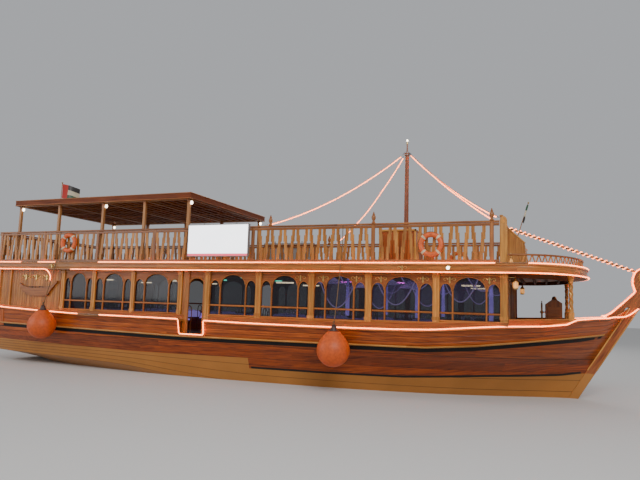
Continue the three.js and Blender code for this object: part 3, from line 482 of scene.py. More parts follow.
def run_along(name, finish, x0, x1, ring_at, sides=(-1, 1), step=0.23, smooth=True, slot=None, replaces=()):
    """A moulding along the boat's side: ring_at gives its closed (y, z, tone, groove) section."""
    made = Mesh()
    for sign in sides:
        rings = []
        for x in spread(x0, x1, step):
            row = station(x)
            ring = ring_at(x, row)
            start = len(made.points)
            girth = [0.0]
            for a, b in zip(ring, ring[1:] + ring[:1]):
                girth.append(girth[-1] + math.hypot(b[0] - a[0], b[1] - a[1]))
            made.points += [(raked(x, p[1]), sign * p[0], p[1]) for p in ring]
            rings.append((x, start, ring, girth))
        n = len(rings[0][2])
        for (xa, a, ring, ga), (xb, b, _, gb) in zip(rings, rings[1:]):
            for k in range(n):
                m = (k + 1) % n
                quad = [a + k, b + k, b + m, a + m]
                grain = [(xa, ga[k]), (xb, gb[k]), (xb, gb[k + 1]), (xa, ga[k + 1])]
                p, q = ring[k], ring[m]
                t = plank_of(p[2] % strake, (xa + xb) / 2) if p[2] >= 0 else 0.5
                tone = [(t, p[3]), (t, p[3]), (t, q[3]), (t, q[3])]
                if sign < 0:
                    quad, grain, tone = quad[::-1], grain[::-1], tone[::-1]
                made.face(quad[::-1], grain[::-1], tone[::-1])
        for (x, start, ring, _), fore in ((rings[0], False), (rings[-1], True)):
            loop = [start + k for k in range(n)]
            if fore == (sign > 0):
                loop = loop[::-1]
            made.face(loop, [(0, 0)] * n, 0.4)
    return made.place(name, finish, smooth=smooth, slot=slot, replaces=replaces)


def bulwark_ring(top_at):
    def ring(x, row):
        z0 = HULL_TOP + 0.0005
        under = min(row[10] - CAP, top_at)
        s = along(RUB_STRAKE, x) - 0.03
        low = [z0, s, s + (under - s) * 0.36, s + (under - s) * 0.68, under]
        if under < row[10] - CAP:
            low = [z0, z0 + (under - z0) * 0.5, under]
        points = []
        for k, (a, b) in enumerate(zip(low, low[1:])):
            points += [
                (side_y(row, a) - SEAM_DEPTH, a, k + 3, 1.0),
                (side_y(row, a + SEAM), a + SEAM, k + 3, 0.0),
                (side_y(row, b - SEAM), b - SEAM, k + 3, 0.0),
            ]
        top = side_y(row, under)
        points.append((top - SEAM_DEPTH, under, 3, 1.0))
        inside = max(top - min(0.07, top - 0.012), 0.008)
        foot = max(side_y(row, z0) - 0.07, 0.006)
        points += [(inside, under, 4, 0.0), (foot, z0, 5, 0.0)]
        return points

    return ring


run_along(
    "bulwark_aft", bulwark_teak, HULL_AFT, NOTCH[0], bulwark_ring(9.0), slot="varnished_planks",
    replaces=["bulwark_port", "bulwark_stbd"],
)
run_along(
    "bulwark_fore", bulwark_teak, NOTCH[1], HULL_FORE,
    bulwark_ring(9.0), slot="varnished_planks", step=0.16,
)
run_along("notch_planks", bulwark_teak, *NOTCH, bulwark_ring(NOTCH_SILL - 0.05), slot="varnished_planks")


def strake_ring(x, row):
    z = along(RUB_STRAKE, x)
    out = 0.045 if x < 8.2 else 0.02
    half = STRAKE_HALF
    points = [(side_y(row, z - half) - 0.01, z - half, 2, 0.0)]
    for k in range(1, 6):
        a = math.pi * (k / 6 - 0.5)
        zz = z + half * math.sin(a)
        points.append((side_y(row, zz) + out * math.cos(a), zz, 2, 0.0))
    points.append((side_y(row, z + half) - 0.01, z + half, 2, 0.0))
    return points


def band_ring(x, row):
    hi = along(RUB_STRAKE, x) - STRAKE_HALF - 0.002
    lo = hi - BLACK_BAND * (1.0 if x < 7.9 else max(0.35, 1 - (x - 7.9)))
    return [
        (side_y(row, lo) - 0.012, lo, -1, 0.0),
        (side_y(row, lo) + 0.008, lo, -1, 0.0),
        (side_y(row, hi) + 0.008, hi, -1, 0.0),
        (side_y(row, hi) - 0.012, hi, -1, 0.0),
    ]


run_along("rub_strake", strake_wood, HULL_AFT, 8.38, strake_ring, slot="frame_wood", step=0.2)
run_along("black_line", gloss_black, HULL_AFT, 8.34, band_ring, slot="varnished_planks", step=0.2)


def overhang(x):
    """How far the covering board stands out from the side; it narrows close to the stem."""
    return CAP_OVERHANG if x < 8.2 else 0.02


def cap_ring(x, row):
    y, z = row[9], row[10]
    inner = max(min(y - 0.125, 2.24), 0.006)
    out = y + overhang(x)
    r = 0.022
    return [
        (inner, z, 1, 0.0),
        (inner, z - CAP, 1, 0.0),
        (out - r, z - CAP, 1, 0.0),
        (out - r * 0.3, z - CAP + r * 0.3, 1, 0.0),
        (out, z - CAP + r, 1, 0.0),
        (out, z - r, 1, 0.0),
        (out - r * 0.3, z - r * 0.3, 1, 0.0),
        (out - r, z, 1, 0.0),
    ][::-1]


def sill_ring(x, row):
    out = side_y(row, NOTCH_SILL) + 0.04
    inner = side_y(row, NOTCH_SILL) - 0.09
    return [
        (inner, NOTCH_SILL - 0.05, 1, 0.0),
        (inner, NOTCH_SILL, 1, 0.0),
        (out - 0.012, NOTCH_SILL, 1, 0.0),
        (out, NOTCH_SILL - 0.012, 1, 0.0),
        (out, NOTCH_SILL - 0.04, 1, 0.0),
        (out - 0.012, NOTCH_SILL - 0.05, 1, 0.0),
    ]


run_along("covering_board_aft", cap_wood, HULL_AFT, NOTCH[0], cap_ring, slot="varnished_planks")
run_along(
    "covering_board_fore", cap_wood, NOTCH[1], HULL_FORE, cap_ring, slot="varnished_planks", step=0.12,
)
run_along("notch_sill", cap_wood, *NOTCH, sill_ring, slot="varnished_planks")

# TRANSOM
# The stern is closed by a raked board of wide horizontal planks, edge to edge between the two
# sides, with a rounded cap and a leaning quarter post a side that carries the upper deck's overhang.
ALONG, ACROSS, UP = (1, 0, 0), (0, 1, 0), (0, 0, 1)


def board(made, a, b, width, thick, across, chamfer=0.006, tone=None, ends=1.0):
    """A board from a to b with its long edges eased; across is the direction of its width."""
    a, b = Vector(a), Vector(b)
    run = b - a
    length = run.length
    run = run / length
    wide = Vector(across)
    wide = (wide - run * wide.dot(run)).normalized()
    deep = run.cross(wide)
    w, t, c = width / 2, thick / 2, min(chamfer, width * 0.3, thick * 0.3)
    ring = [
        (w, t - c), (w - c, t), (c - w, t), (-w, t - c), (-w, c - t), (c - w, -t), (w - c, -t), (w, c - t)
    ]
    start = len(made.points)
    made.points += [a + wide * p + deep * q for p, q in ring]
    made.points += [b + wide * p * ends + deep * q * ends for p, q in ring]
    shift = random.uniform(0, 9)
    tone = random.uniform(0.15, 0.85) if tone is None else tone
    girth = 0.0
    for k in range(8):
        m = (k + 1) % 8
        step = math.hypot(ring[m][0] - ring[k][0], ring[m][1] - ring[k][1])
        u0, u1 = shift, shift + length
        made.face(
            [start + k, start + m, start + 8 + m, start + 8 + k],
            [(u0, girth), (u0, girth + step), (u1, girth + step), (u1, girth)],
            tone,
        )
        girth += step
    made.caps(start, start + 8, 8, max(tone - 0.25, 0), [(shift + q * 6, p) for p, q in ring])


transom_planks = Mesh()
levels = [0.44, 0.57, 0.70, 0.83, 0.96, 1.09, 1.22, 1.35, 1.48, 1.61, 1.74, 1.865]
aft_row = STATIONS[0]
for lo, hi in zip(levels, levels[1:]):
    z = (lo + hi) / 2
    half = min(side_y(aft_row, lo), side_y(aft_row, hi)) - 0.004
    if z > HULL_TOP:
        half = min(half - 0.072, 2.24)
    face_x = raked(HULL_AFT, z) + (-0.012 if z < HULL_TOP else 0.035)
    board(
        transom_planks, (face_x, -half, z), (face_x, half, z), hi - lo - 0.006,
        0.03 if z < HULL_TOP else 0.075, (0.28, 0, -1), 0.006,
    )
transom_planks.place("transom_planks", bulwark_teak, slot="varnished_planks", replaces=["transom"])
transom_trim = Mesh()
board(transom_trim, (-10.40, -2.235, 1.895), (-10.40, 2.235, 1.895), 0.13, 0.05, ALONG, 0.015)
board(transom_trim, (-10.215, -2.1, 1.16), (-10.215, 2.1, 1.16), 0.055, 0.05, (0.28, 0, -1), 0.015)
for side in (-1, 1):
    y = side * 2.095
    board(transom_trim, (-10.351, y, 1.90), (-10.033, y, 3.158), 0.104, 0.096, ALONG, 0.006)
    for t, high in ((0.06, 0.10), (0.13, 0.03), (0.86, 0.03), (0.95, 0.08)):
        x, z = -10.351 + 0.318 * t, 1.90 + 1.258 * t
        ends = (x - 0.012, y, z - high / 2), (x + 0.012, y, z + high / 2)
        board(transom_trim, *ends, 0.135, 0.125, ALONG, 0.012)
transom_trim.place("transom_trim", strake_wood, slot="frame_wood")

# WASHBOARDS AND QUARTER PADS
# A washboard stands on the covering board from the saloon to each fore post, with a pale bead on
# its edge. A pad of upright planks is bolted over the strake on each quarter.
WASH_TOP = [(7.177, 2.052), (7.897, 2.078), (8.534, 2.098)]
cap_rows = [station(x) for x in spread(6.0, 7.9, 0.1)]
cap_edge = [(raked(row[0], row[10]), row[9] - 0.02) for row in cap_rows]
cap_height = [(raked(row[0], row[10]), row[10] - 0.012) for row in cap_rows]
washboards, beads = Mesh(), Mesh()
for sign in (-1, 1):
    crest = []
    for x0, x1 in zip(spread(7.19, 8.542, 0.14), spread(7.19, 8.542, 0.14)[1:]):
        start = len(washboards.points)
        for x in (x0, x1):
            y, low, high = along(cap_edge, x), along(cap_height, x), along(WASH_TOP, x)
            shoulder = high - 0.006
            ring = (0, low), (0, shoulder), (0.006, high), (0.034, high), (0.04, shoulder), (0.04, low)
            washboards.points += [(x, sign * (y - inset), z) for inset, z in ring]
            crest.append((x, sign * (y - 0.004), high - 0.016))
        for k in range(6):
            m = (k + 1) % 6
            v0, v1 = 0.03 * k, 0.03 * k + 0.03
            quad = [start + k, start + m, start + 6 + m, start + 6 + k]
            washboards.face(quad, [(x0, v0), (x0, v1), (x1, v1), (x1, v0)], 0.55)
    for a, b in zip(crest[::2], crest[1::2]):
        board(beads, a, b, 0.028, 0.026, UP, 0.009, 0.7)
    for k in range(3):
        x = -9.80 + 0.105 * k
        y = side_y(station(x), 1.5) + 0.05
        ends = (x, sign * (y - 0.03), 1.22), (x, sign * (y + 0.022), 1.78)
        board(washboards, *ends, 0.10, 0.04, ALONG, 0.008, 0.5 + 0.1 * k)
washboards.place("washboards", bulwark_teak, slot="varnished_planks")
beads.place("washboard_beads", cap_wood, slot="frame_wood")

# STEM, KNEE AND SCROLLED HEAD
# A straight raked teak timber, sided 160 mm, closes the bow. Pale fillets cover the rabbet on
# each side, and a grown knee on its top carries the carved scroll that the forestay runs to.
STEM_HALF = 0.08


def stem_aft(z):
    return 8.55 + 0.62 * z


def stem_fore(z):
    return 8.80 + 0.62 * z


def slab(made, outline, place, lo, hi, chamfer=0.01, grain=(1, 0), tone=None):
    """A flat outline given thickness from lo to hi, with eased edges; place puts (u, v, w) in space."""
    n = len(outline)
    area = sum(
        outline[k][0] * outline[(k + 1) % n][1] - outline[(k + 1) % n][0] * outline[k][1]
        for k in range(n)
    )
    pts = outline if area > 0 else outline[::-1]
    inner = []
    for k in range(n):
        (x0, y0), (x1, y1), (x2, y2) = pts[k - 1], pts[k], pts[(k + 1) % n]
        d0 = Vector((x1 - x0, y1 - y0)).normalized()
        d1 = Vector((x2 - x1, y2 - y1)).normalized()
        normal = Vector((-(d0.y + d1.y), d0.x + d1.x))
        size = normal.length or 1.0
        reach = chamfer / max(size / 2, 0.4)
        inner.append((x1 + normal.x / size * reach, y1 + normal.y / size * reach))
    levels_at = [(inner, lo), (pts, lo + chamfer), (pts, hi - chamfer), (inner, hi)]
    start = len(made.points)
    for loop, w in levels_at:
        made.points += [place(u, v, w) for u, v in loop]
    shift = random.uniform(0, 9)
    tone = random.uniform(0.2, 0.8) if tone is None else tone
    gx, gy = grain

    def coord(loop, k, w):
        u, v = loop[k % n]
        return (shift + u * gx + v * gy, v * gx - u * gy + w)

    for level in range(3):
        (la, wa), (lb, wb) = levels_at[level], levels_at[level + 1]
        for k in range(n):
            m = (k + 1) % n
            a, b = start + level * n, start + (level + 1) * n
            made.face(
                [a + k, a + m, b + m, b + k],
                [coord(la, k, wa), coord(la, m, wa), coord(lb, m, wb), coord(lb, k, wb)],
                tone,
            )
    made.face([start + k for k in range(n)][::-1], [coord(inner, k, lo) for k in range(n)][::-1], tone)
    made.face([start + 3 * n + k for k in range(n)], [coord(inner, k, hi) for k in range(n)], tone)


def upright(x, z, y):
    """The placing of an outline that stands fore and aft."""
    return (x, y, z)


def on_side(sign, out=0.0):
    """The placing of an outline on one side of the boat, so far out from the centreline."""
    return lambda x, z, y: (x, sign * (out + y), z)


def standing(x, y, z):
    """The placing of a turned piece that stands at a point."""
    return lambda u, v, h: (x + u, y + v, z + h)


def angles(count):
    return [2 * math.pi * k / count for k in range(count)]


def smooth_line(marks, steps=6):
    """A curve through the given points."""
    line = []
    pts = [Vector(p) for p in marks]
    for k in range(len(pts) - 1):
        a, b, c, d = pts[max(k - 1, 0)], pts[k], pts[k + 1], pts[min(k + 2, len(pts) - 1)]
        for s in range(steps):
            t = s / steps
            p = 0.5 * (2 * b + (c - a) * t + (2 * a - 5 * b + 4 * c - d) * t * t
                       + (3 * b - a - 3 * c + d) * t * t * t)
            line.append(tuple(p))
    line.append(tuple(pts[-1]))
    return line


stem_teak = varnished(
    "stem_teak", (0.16, 0.034, 0.008), (0.48, 0.14, 0.030), rough=0.3, coat=0.5, paint=TAN
)
head_marks = [
    (stem_fore(2.95), 2.95), (10.712, 3.18), (10.655, 3.35), (10.525, 3.44), (10.38, 3.435),
    (10.262, 3.36), (10.198, 3.22), (10.185, 3.06), (10.218, 2.925), (10.235, 2.83),
    (10.06, 2.655), (9.82, 2.42), (9.66, 2.275), (9.54, 2.205),
]
head = smooth_line(head_marks, 5)
stem_outline = [
    (stem_aft(-1.2), -1.2), (stem_fore(-1.2), -1.2), (stem_fore(-0.1), -0.1), (stem_fore(1.4), 1.4),
]
stem_outline += head + [
    (9.54, 2.11), (9.81, 2.11), (9.985, 2.432), (stem_aft(2.43), 2.432), (stem_aft(1.2), 1.2),
]
stem_outline += [(stem_aft(0), 0)]
stem = Mesh()
slab(stem, stem_outline, upright, -STEM_HALF, STEM_HALF, 0.012, grain=(0.53, 0.85), tone=0.5)
stem = stem.place("stem_timber", stem_teak, slot="varnished_planks", replaces=["stem"])
paint_zones(stem)

rabbet = Mesh()
for side in (-1, 1):
    for offset, reach in ((0.02, 0.022), (0.235, 0.02)):
        board(
            rabbet, (stem_aft(0.76) + offset, side * (STEM_HALF + 0.004), 0.76),
            (stem_aft(2.42) + offset, side * (STEM_HALF + 0.004), 2.42), 0.035, reach, ALONG, 0.008,
        )
rabbet.place("stem_fillets", strake_wood, slot="frame_wood")

scroll = Mesh()
for side in (-1, 1):
    marks = []
    for k in range(34):
        a = 0.3 + k * 0.33
        r = 0.185 * (1 - k / 40)
        marks.append((10.44 + r * math.cos(a) * 0.95, 3.20 + r * math.sin(a)))
    for p, q in zip(marks, marks[1:]):
        y = side * (STEM_HALF + 0.006)
        across = UP if abs(q[0] - p[0]) > abs(q[1] - p[1]) else ALONG
        board(scroll, (p[0], y, p[1]), (q[0], y, q[1]), 0.028, 0.026, across, 0.008, 0.6)
scroll.place("head_scroll", strake_wood, slot="frame_wood")

# KEEL, STERNPOST, ENGINE AND DECK
# The straight keel and the sternpost are single baulks, antifouled tan with the bottom. The deck
# is laid with narrow pale planks, caulked black and scrubbed bare.
bottom_wood = varnished(
    "bottom_wood", (0.26, 0.13, 0.05), (0.42, 0.23, 0.1), grain="x", rough=0.6, coat=0.0,
)


def finish_nodes(finish, *names):
    for name in names:
        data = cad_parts[name].data
        data.materials.clear()
        data.materials.append(finish)


finish_nodes(bottom_wood, "keel", "sternpost")


def laid_deck(name, dark, light, pitch=0.11):
    """Deck planks along the boat, with black caulking between them and a tone for each plank."""
    deck = Finish(name)
    lane = deck.reckon("MULTIPLY", deck.axis(1), 1 / pitch)
    plank = {"W": deck.reckon("FLOOR", lane)}
    tone = deck.add("ShaderNodeTexWhiteNoise", plank, noise_dimensions="1D")
    rings = deck.noise(deck.stretched(deck.where(), (1.2, 22, 22)), 2, 5)
    colour = deck.ramp(rings, dark, light, 0.3, 0.7)
    colour = deck.mix(1.0, colour, deck.ranged(tone, 0.75, 1.2), "MULTIPLY")
    seam = deck.reckon("LESS_THAN", deck.reckon("FRACT", lane), 0.07)
    return deck.done({
        "Base Color": deck.mix(seam, colour, (0.02, 0.018, 0.016)),
        "Roughness": 0.62,
        "Normal": deck.bump(rings, 0.3, 0.004),
    })


finish_nodes(laid_deck("scrubbed_planks", (0.26, 0.17, 0.095), (0.5, 0.36, 0.21)), "main_deck")


def painted_metal(name, colour, rough=0.45, metal=0.0, pitting=30):
    """Painted or bare metal with uneven gloss and small pits."""
    plate = Finish(name)
    noise = plate.noise(plate.where(), pitting, 5)
    return plate.done({
        "Base Color": plate.ramp(noise, [c * 0.75 for c in colour], colour, 0.3, 0.72),
        "Metallic": metal,
        "Roughness": plate.ranged(noise, rough - 0.1, rough + 0.15),
        "Normal": plate.bump(noise, 0.15, 0.002),
    })


finish_nodes(painted_metal("engine_grey_paint", (0.10, 0.13, 0.14)), "engine")
finish_nodes(painted_metal("cast_bronze", (0.55, 0.36, 0.13), 0.35, 1.0), "propeller")
rudder_wood = varnished(
    "rudder_wood", (0.20, 0.09, 0.035), (0.36, 0.18, 0.075), grain="z", rough=0.55, coat=0.05,
)
finish_nodes(rudder_wood, "rudder")

# SALOON SIDES
# Framed teak walls stand on the covering board behind a ledge. Paler pillars on the ledge part them
# into bays of three lights, a wide arch between two narrow ones over a row of low panes, with planted
# mouldings round every arch and a sill below. The smoked glass is beaded in from outside.
WALL_OUT = 2.34
AFT_POSTS = [-6.95, -5.64, -4.07, -2.30]
FORE_POSTS = [-1.33, 0.37, 2.01, 3.65, 5.44, 7.087]
WALL_TOP = 3.1597
CLADDING = 0.024
BAND_FACE = 2.552
bays = [(a + 0.07, b - 0.07) for a, b in zip(AFT_POSTS, AFT_POSTS[1:])]
bays += [(a + 0.09, b - 0.09) for a, b in zip(FORE_POSTS, FORE_POSTS[1:])]
LEDGE = [(-9.847, 1.945), (-7.4, 1.832), (3.0, 1.832), (7.182, 1.978)]
pillar_wood = varnished("pillar_wood", (0.33, 0.115, 0.018), (0.68, 0.30, 0.055), rough=0.33, coat=0.4)
wall_teak = varnished(
    "wall_teak", (0.17, 0.045, 0.010), (0.40, 0.135, 0.028), grain="x", rough=0.36, coat=0.35,
)
moulding_wood = varnished("moulding_wood", (0.22, 0.062, 0.012), (0.50, 0.185, 0.036), rough=0.33, coat=0.4)
finish_nodes(wall_teak, "saloon_wall_port", "saloon_wall_stbd", "jamb_aft_port", "jamb_aft_stbd",
             "jamb_fore_port", "jamb_fore_stbd")


def tube(made, path, radius, sides=8, closed=False, tone=0.5, flat=1.0, taper=None):
    """A round rod bent along a path."""
    pts = [Vector(p) for p in path]
    n = len(pts)
    before = Vector((0.13, 0.29, 0.95)).normalized()
    start = len(made.points)
    length = 0.0
    lengths = []
    for i in range(n):
        a = pts[i - 1] if i or closed else pts[i]
        b = pts[(i + 1) % n] if i + 1 < n or closed else pts[i]
        run = (b - a).normalized()
        if abs(run.dot(before)) > 0.97:
            before = Vector((run.z, run.x, run.y))
        wide = (before - run * before.dot(run)).normalized()
        before = wide
        deep = run.cross(wide)
        if i:
            length += (pts[i] - pts[i - 1]).length
        lengths.append(length)
        r = radius * (taper(i / (n - 1)) if taper else 1.0)
        for k in range(sides):
            t = 2 * math.pi * k / sides
            made.points.append(pts[i] + wide * math.cos(t) * r + deep * math.sin(t) * r * flat)
    for i in range(n if closed else n - 1):
        j = (i + 1) % n
        u0, u1 = lengths[i], lengths[i] + (pts[j] - pts[i]).length
        for k in range(sides):
            m = (k + 1) % sides
            a, b = start + i * sides, start + j * sides
            v0, v1 = 2 * math.pi * radius * k / sides, 2 * math.pi * radius * (k + 1) / sides
            made.face([a + k, a + m, b + m, b + k], [(u0, v0), (u0, v1), (u1, v1), (u1, v0)], tone)
    if not closed:
        made.caps(start, start + (n - 1) * sides, sides, tone)


def arch_line(x0, x1, spring, top, steps=10):
    c, r = (x0 + x1) / 2, (x1 - x0) / 2
    arc = [(k * math.pi / steps) for k in range(steps + 1)]
    return [(c + r * math.cos(a), spring + (top - spring) * math.sin(a)) for a in arc]


def glass(name):
    """Smoked float glass with faint streaks of wiping."""
    sheet = Finish(name)
    gloss = sheet.ranged(sheet.noise(None, 5), 0.02, 0.12)
    tint = (0.010, 0.011, 0.018)
    return sheet.done({"Base Color": tint, "Roughness": gloss, "Alpha": 0.55, "IOR": 1.5})


smoked_glass = glass("smoked_glass")
pillars, mouldings, panes = Mesh(), Mesh(), Mesh()
for sign in (-1, 1):
    on_wall = on_side(sign, WALL_OUT)
    for k, x in enumerate(AFT_POSTS + FORE_POSTS):
        foot = NOTCH_SILL + 0.003 if NOTCH[0] < x < NOTCH[1] else along(LEDGE, x) + 0.001
        wide = 0.136 if k < 4 else 0.171
        # middle, foot, head, outward, width, thickness, chamfer
        for mid, low, high, out, across, thick, ease in (
            (x, foot, WALL_TOP, 0.024, wide, 0.048, 0.005),
            (x - 0.02, foot, WALL_TOP, 0.054, wide * 0.42, 0.016, 0.006),
            (x, foot + 0.05, foot + 0.13, 0.03, wide + 0.03, 0.07, 0.012),
            (x, WALL_TOP - 0.12, WALL_TOP - 0.05, 0.03, wide + 0.03, 0.07, 0.012),
        ):
            board(pillars, on_wall(mid, low, out), on_wall(mid, high, out), across, thick, ALONG, ease)
    ledges = LEDGE[:2], [LEDGE[1], (NOTCH[0], 1.832)], [(NOTCH[1], 1.832), LEDGE[2]], LEDGE[2:]
    for ledge in ledges:
        ends = [on_wall(x, z - 0.008, 0.034) for x, z in ledge]
        board(mouldings, *ends, 0.03, 0.062, UP, 0.009, 0.75)
    for x, wide in ((-2.075, 0.21), (-1.44, 0.07)):
        foot = NOTCH_SILL + 0.003
        board(mouldings, on_wall(x, foot, 0.02), on_wall(x, WALL_TOP, 0.02), wide, 0.04, ALONG, 0.01, 0.3)
    arch_path = [on_wall(x, z, 0.012) for x, z in arch_line(-2.01, -1.42, 2.70, 2.95, 14)]
    tube(mouldings, arch_path, 0.02, 6)
    for x0, x1 in bays:
        edge = 0.33 * (x1 - x0) / 1.5
        sill = 1.885 + max(0.0, x0 - 3.0) * 0.035
        cuts = [x0, x0 + edge, x1 - edge, x1]
        for k in range(3):
            a = cuts[k] + (0.022 if k else 0.0)
            b = cuts[k + 1] - (0.022 if k < 2 else 0.0)
            spring, top = (2.78, 3.06) if k == 1 else (2.70, 2.90)
            line = [on_wall(x, z, 0.008) for x, z in arch_line(a, b, spring, top, 16 if k == 1 else 10)]
            tube(mouldings, line, 0.015 if k == 1 else 0.012, 6)
            pane = [(a - 0.01, 2.17), (b + 0.01, 2.17)]
            pane += [(x, z) for x, z in arch_line(a - 0.01, b + 0.01, spring, top + 0.01, 12)]
            slab(panes, pane, on_wall, -0.034, -0.028, 0.001, tone=0.5)
            low = [(a - 0.01, sill - 0.01), (b + 0.01, sill - 0.01), (b + 0.01, 2.14), (a - 0.01, 2.14)]
            slab(panes, low, on_wall, -0.034, -0.028, 0.001, tone=0.5)
            if k < 2:
                m = cuts[k + 1]
                ends = on_wall(m, sill, 0.006), on_wall(m, spring, 0.006)
                board(mouldings, *ends, 0.03, 0.024, ALONG, 0.007)
                lozenge = ((0, 0.03), (0.02, 0.07), (0, 0.10), (-0.02, 0.07))
                hook = [on_wall(m + dx, spring + dz, 0.012) for dx, dz in lozenge]
                tube(mouldings, hook, 0.008, 5, closed=True)
        # height, outward, width, thickness, chamfer
        for z, out, high, thick, ease in (
            (2.155, 0.005, 0.036, 0.022, 0.007), (sill - 0.02, 0.018, 0.05, 0.06, 0.014),
            (3.115, 0.012, 0.05, 0.03, 0.01),
        ):
            board(mouldings, on_wall(x0, z, out), on_wall(x1, z, out), high, thick, UP, ease)
pillars.place("saloon_pillars", pillar_wood, slot="frame_wood")
mouldings.place("window_mouldings", moulding_wood, slot="frame_wood")
panes.place("window_panes", smoked_glass)

# CARVED ORNAMENTS
# Gilded scrollwork is planted in the corners over the forward arches and along the band above. Each
# piece is carved in thin wood, covered with gold leaf and pinned on.


def leafed(made, place, x, z, size):
    """One gilded corner piece: two scrolls that meet at a drop."""
    for side in (-1, 1):
        curl = []
        for k in range(15):
            a = k * 0.42
            r = size * (0.36 - 0.02 * k)
            u = side * (size * 0.55 - r * math.cos(a) * 0.9)
            curl.append(place(x + u, z + r * math.sin(a) * 0.8, 0.012))
        tube(made, curl, size * 0.055, 5, taper=lambda t: 1.2 - 0.8 * t)
    half = [(0, -0.55), (0.14, -0.28), (0.08, 0.0), (0.16, 0.2), (0, 0.42)]
    drop = half + [(-u, v) for u, v in half[-2:0:-1]]
    slab(made, [(x + u * size, z + v * size) for u, v in drop], place, 0.0, 0.02, 0.005, tone=0.5)


def gilt(name):
    leaf = Finish(name)
    colour = leaf.ramp(leaf.noise(None, 60), (0.36, 0.20, 0.05), (0.85, 0.60, 0.22))
    return leaf.done({"Base Color": colour, "Metallic": 0.85, "Roughness": 0.32})


gilding = gilt("gilding")
ornaments = Mesh()
for sign in (-1, 1):
    for x in FORE_POSTS[2:]:
        for side in (-1, 1):
            if x + side * 0.3 < 7.0:
                leafed(ornaments, on_side(sign, WALL_OUT), x + side * 0.34, 2.99, 0.20)
    for x in (-8.62, -8.15, -7.68):
        leafed(ornaments, on_side(sign, WALL_OUT + CLADDING), x, 2.90, 0.24)
    for x in (-7.3, 4.6):
        leafed(ornaments, on_side(sign, BAND_FACE), x, 3.275, 0.16)
ornaments.place("gilded_ornaments", gilding, slot="frame_wood")

# STERN CABIN CLADDING AND ITS HALF MODEL
# The side of the stern cabin has no windows. It is clad in upright matched boards, and a dark
# half model of a small dhow hangs on it under the gilded scrollwork.
cladding_wood = varnished("cladding_wood", (0.24, 0.07, 0.012), (0.54, 0.21, 0.040), rough=0.36, coat=0.3)
model_wood = varnished("model_wood", (0.018, 0.010, 0.007), (0.07, 0.028, 0.014), rough=0.3, coat=0.5)
cladding, model = Mesh(), Mesh()
for sign in (-1, 1):
    on_cladding = on_side(sign, WALL_OUT + 0.022)
    x = -9.79
    while x < -7.06:
        foot = along(LEDGE, x) + 0.002
        y = sign * (WALL_OUT + 0.011)
        board(cladding, (x, y, foot), (x, y, WALL_TOP), 0.108, 0.022, ALONG, 0.005)
        x += 0.111
    for x, foot in ((-9.31, 1.922), (-9.82, 1.945)):
        ends = on_cladding(x, foot, 0.02), on_cladding(x, WALL_TOP, 0.02)
        board(cladding, *ends, 0.07, 0.05, ALONG, 0.012, 0.9)
    hull_line = smooth_line(
        [(-8.83, 2.67), (-8.64, 2.575), (-8.245, 2.512), (-7.80, 2.53), (-7.46, 2.58)], 5,
    )
    keel_marks = [(-7.46, 2.58), (-7.50, 2.40), (-7.57, 2.292), (-8.09, 2.274), (-8.39, 2.312)]
    keel_line = smooth_line(keel_marks + [(-8.68, 2.425), (-8.83, 2.67)], 5)
    slab(model, hull_line + keel_line[1:-1], on_cladding, 0.0, 0.07, 0.018, tone=0.4)
    tube(model, [on_cladding(x, z + 0.012, 0.05) for x, z in hull_line], 0.014, 6, tone=0.8)
    bowsprit = [(-7.53, 2.42), (-7.40, 2.54), (-7.28, 2.645), (-7.165, 2.755)]
    tube(model, [on_cladding(x, z, 0.045) for x, z in bowsprit], 0.02, 6)
    for k in range(5):
        x = -8.42 + 0.16 * k
        tube(model, [on_cladding(x, z, 0.045) for z in (2.52, 2.575)], 0.009, 5, tone=0.7)
    tube(model, [on_cladding(-8.42, 2.575, 0.045), on_cladding(-7.78, 2.585, 0.045)], 0.009, 5, tone=0.7)
cladding.place("stern_cladding", cladding_wood, slot="frame_wood")
model.place("half_model", model_wood, slot="dark_wood")

# BULKHEADS AND DOORS
# Cross walls of the same teak close the saloon fore and aft and part off the stern cabin. Each
# doorway has a framed door with a glazed upper light and brass handles.
bulkhead_teak = varnished(
    "bulkhead_teak", (0.15, 0.042, 0.009), (0.38, 0.125, 0.026), grain="z", rough=0.38,
)
finish_nodes(bulkhead_teak, "front_bulkhead", "mid_bulkhead", "aft_bulkhead")
door_wood = varnished("door_wood", (0.14, 0.038, 0.009), (0.36, 0.115, 0.025), rough=0.3, coat=0.45)
brass = painted_metal("brass", (0.72, 0.5, 0.2), 0.28, 1.0)
DOOR_FOOT, DOOR_HEAD, DOOR_HALF = 1.218, 2.992, 0.343


def athwart(y, z, x):
    """The placing of an outline that stands across the boat."""
    return (x, y, z)


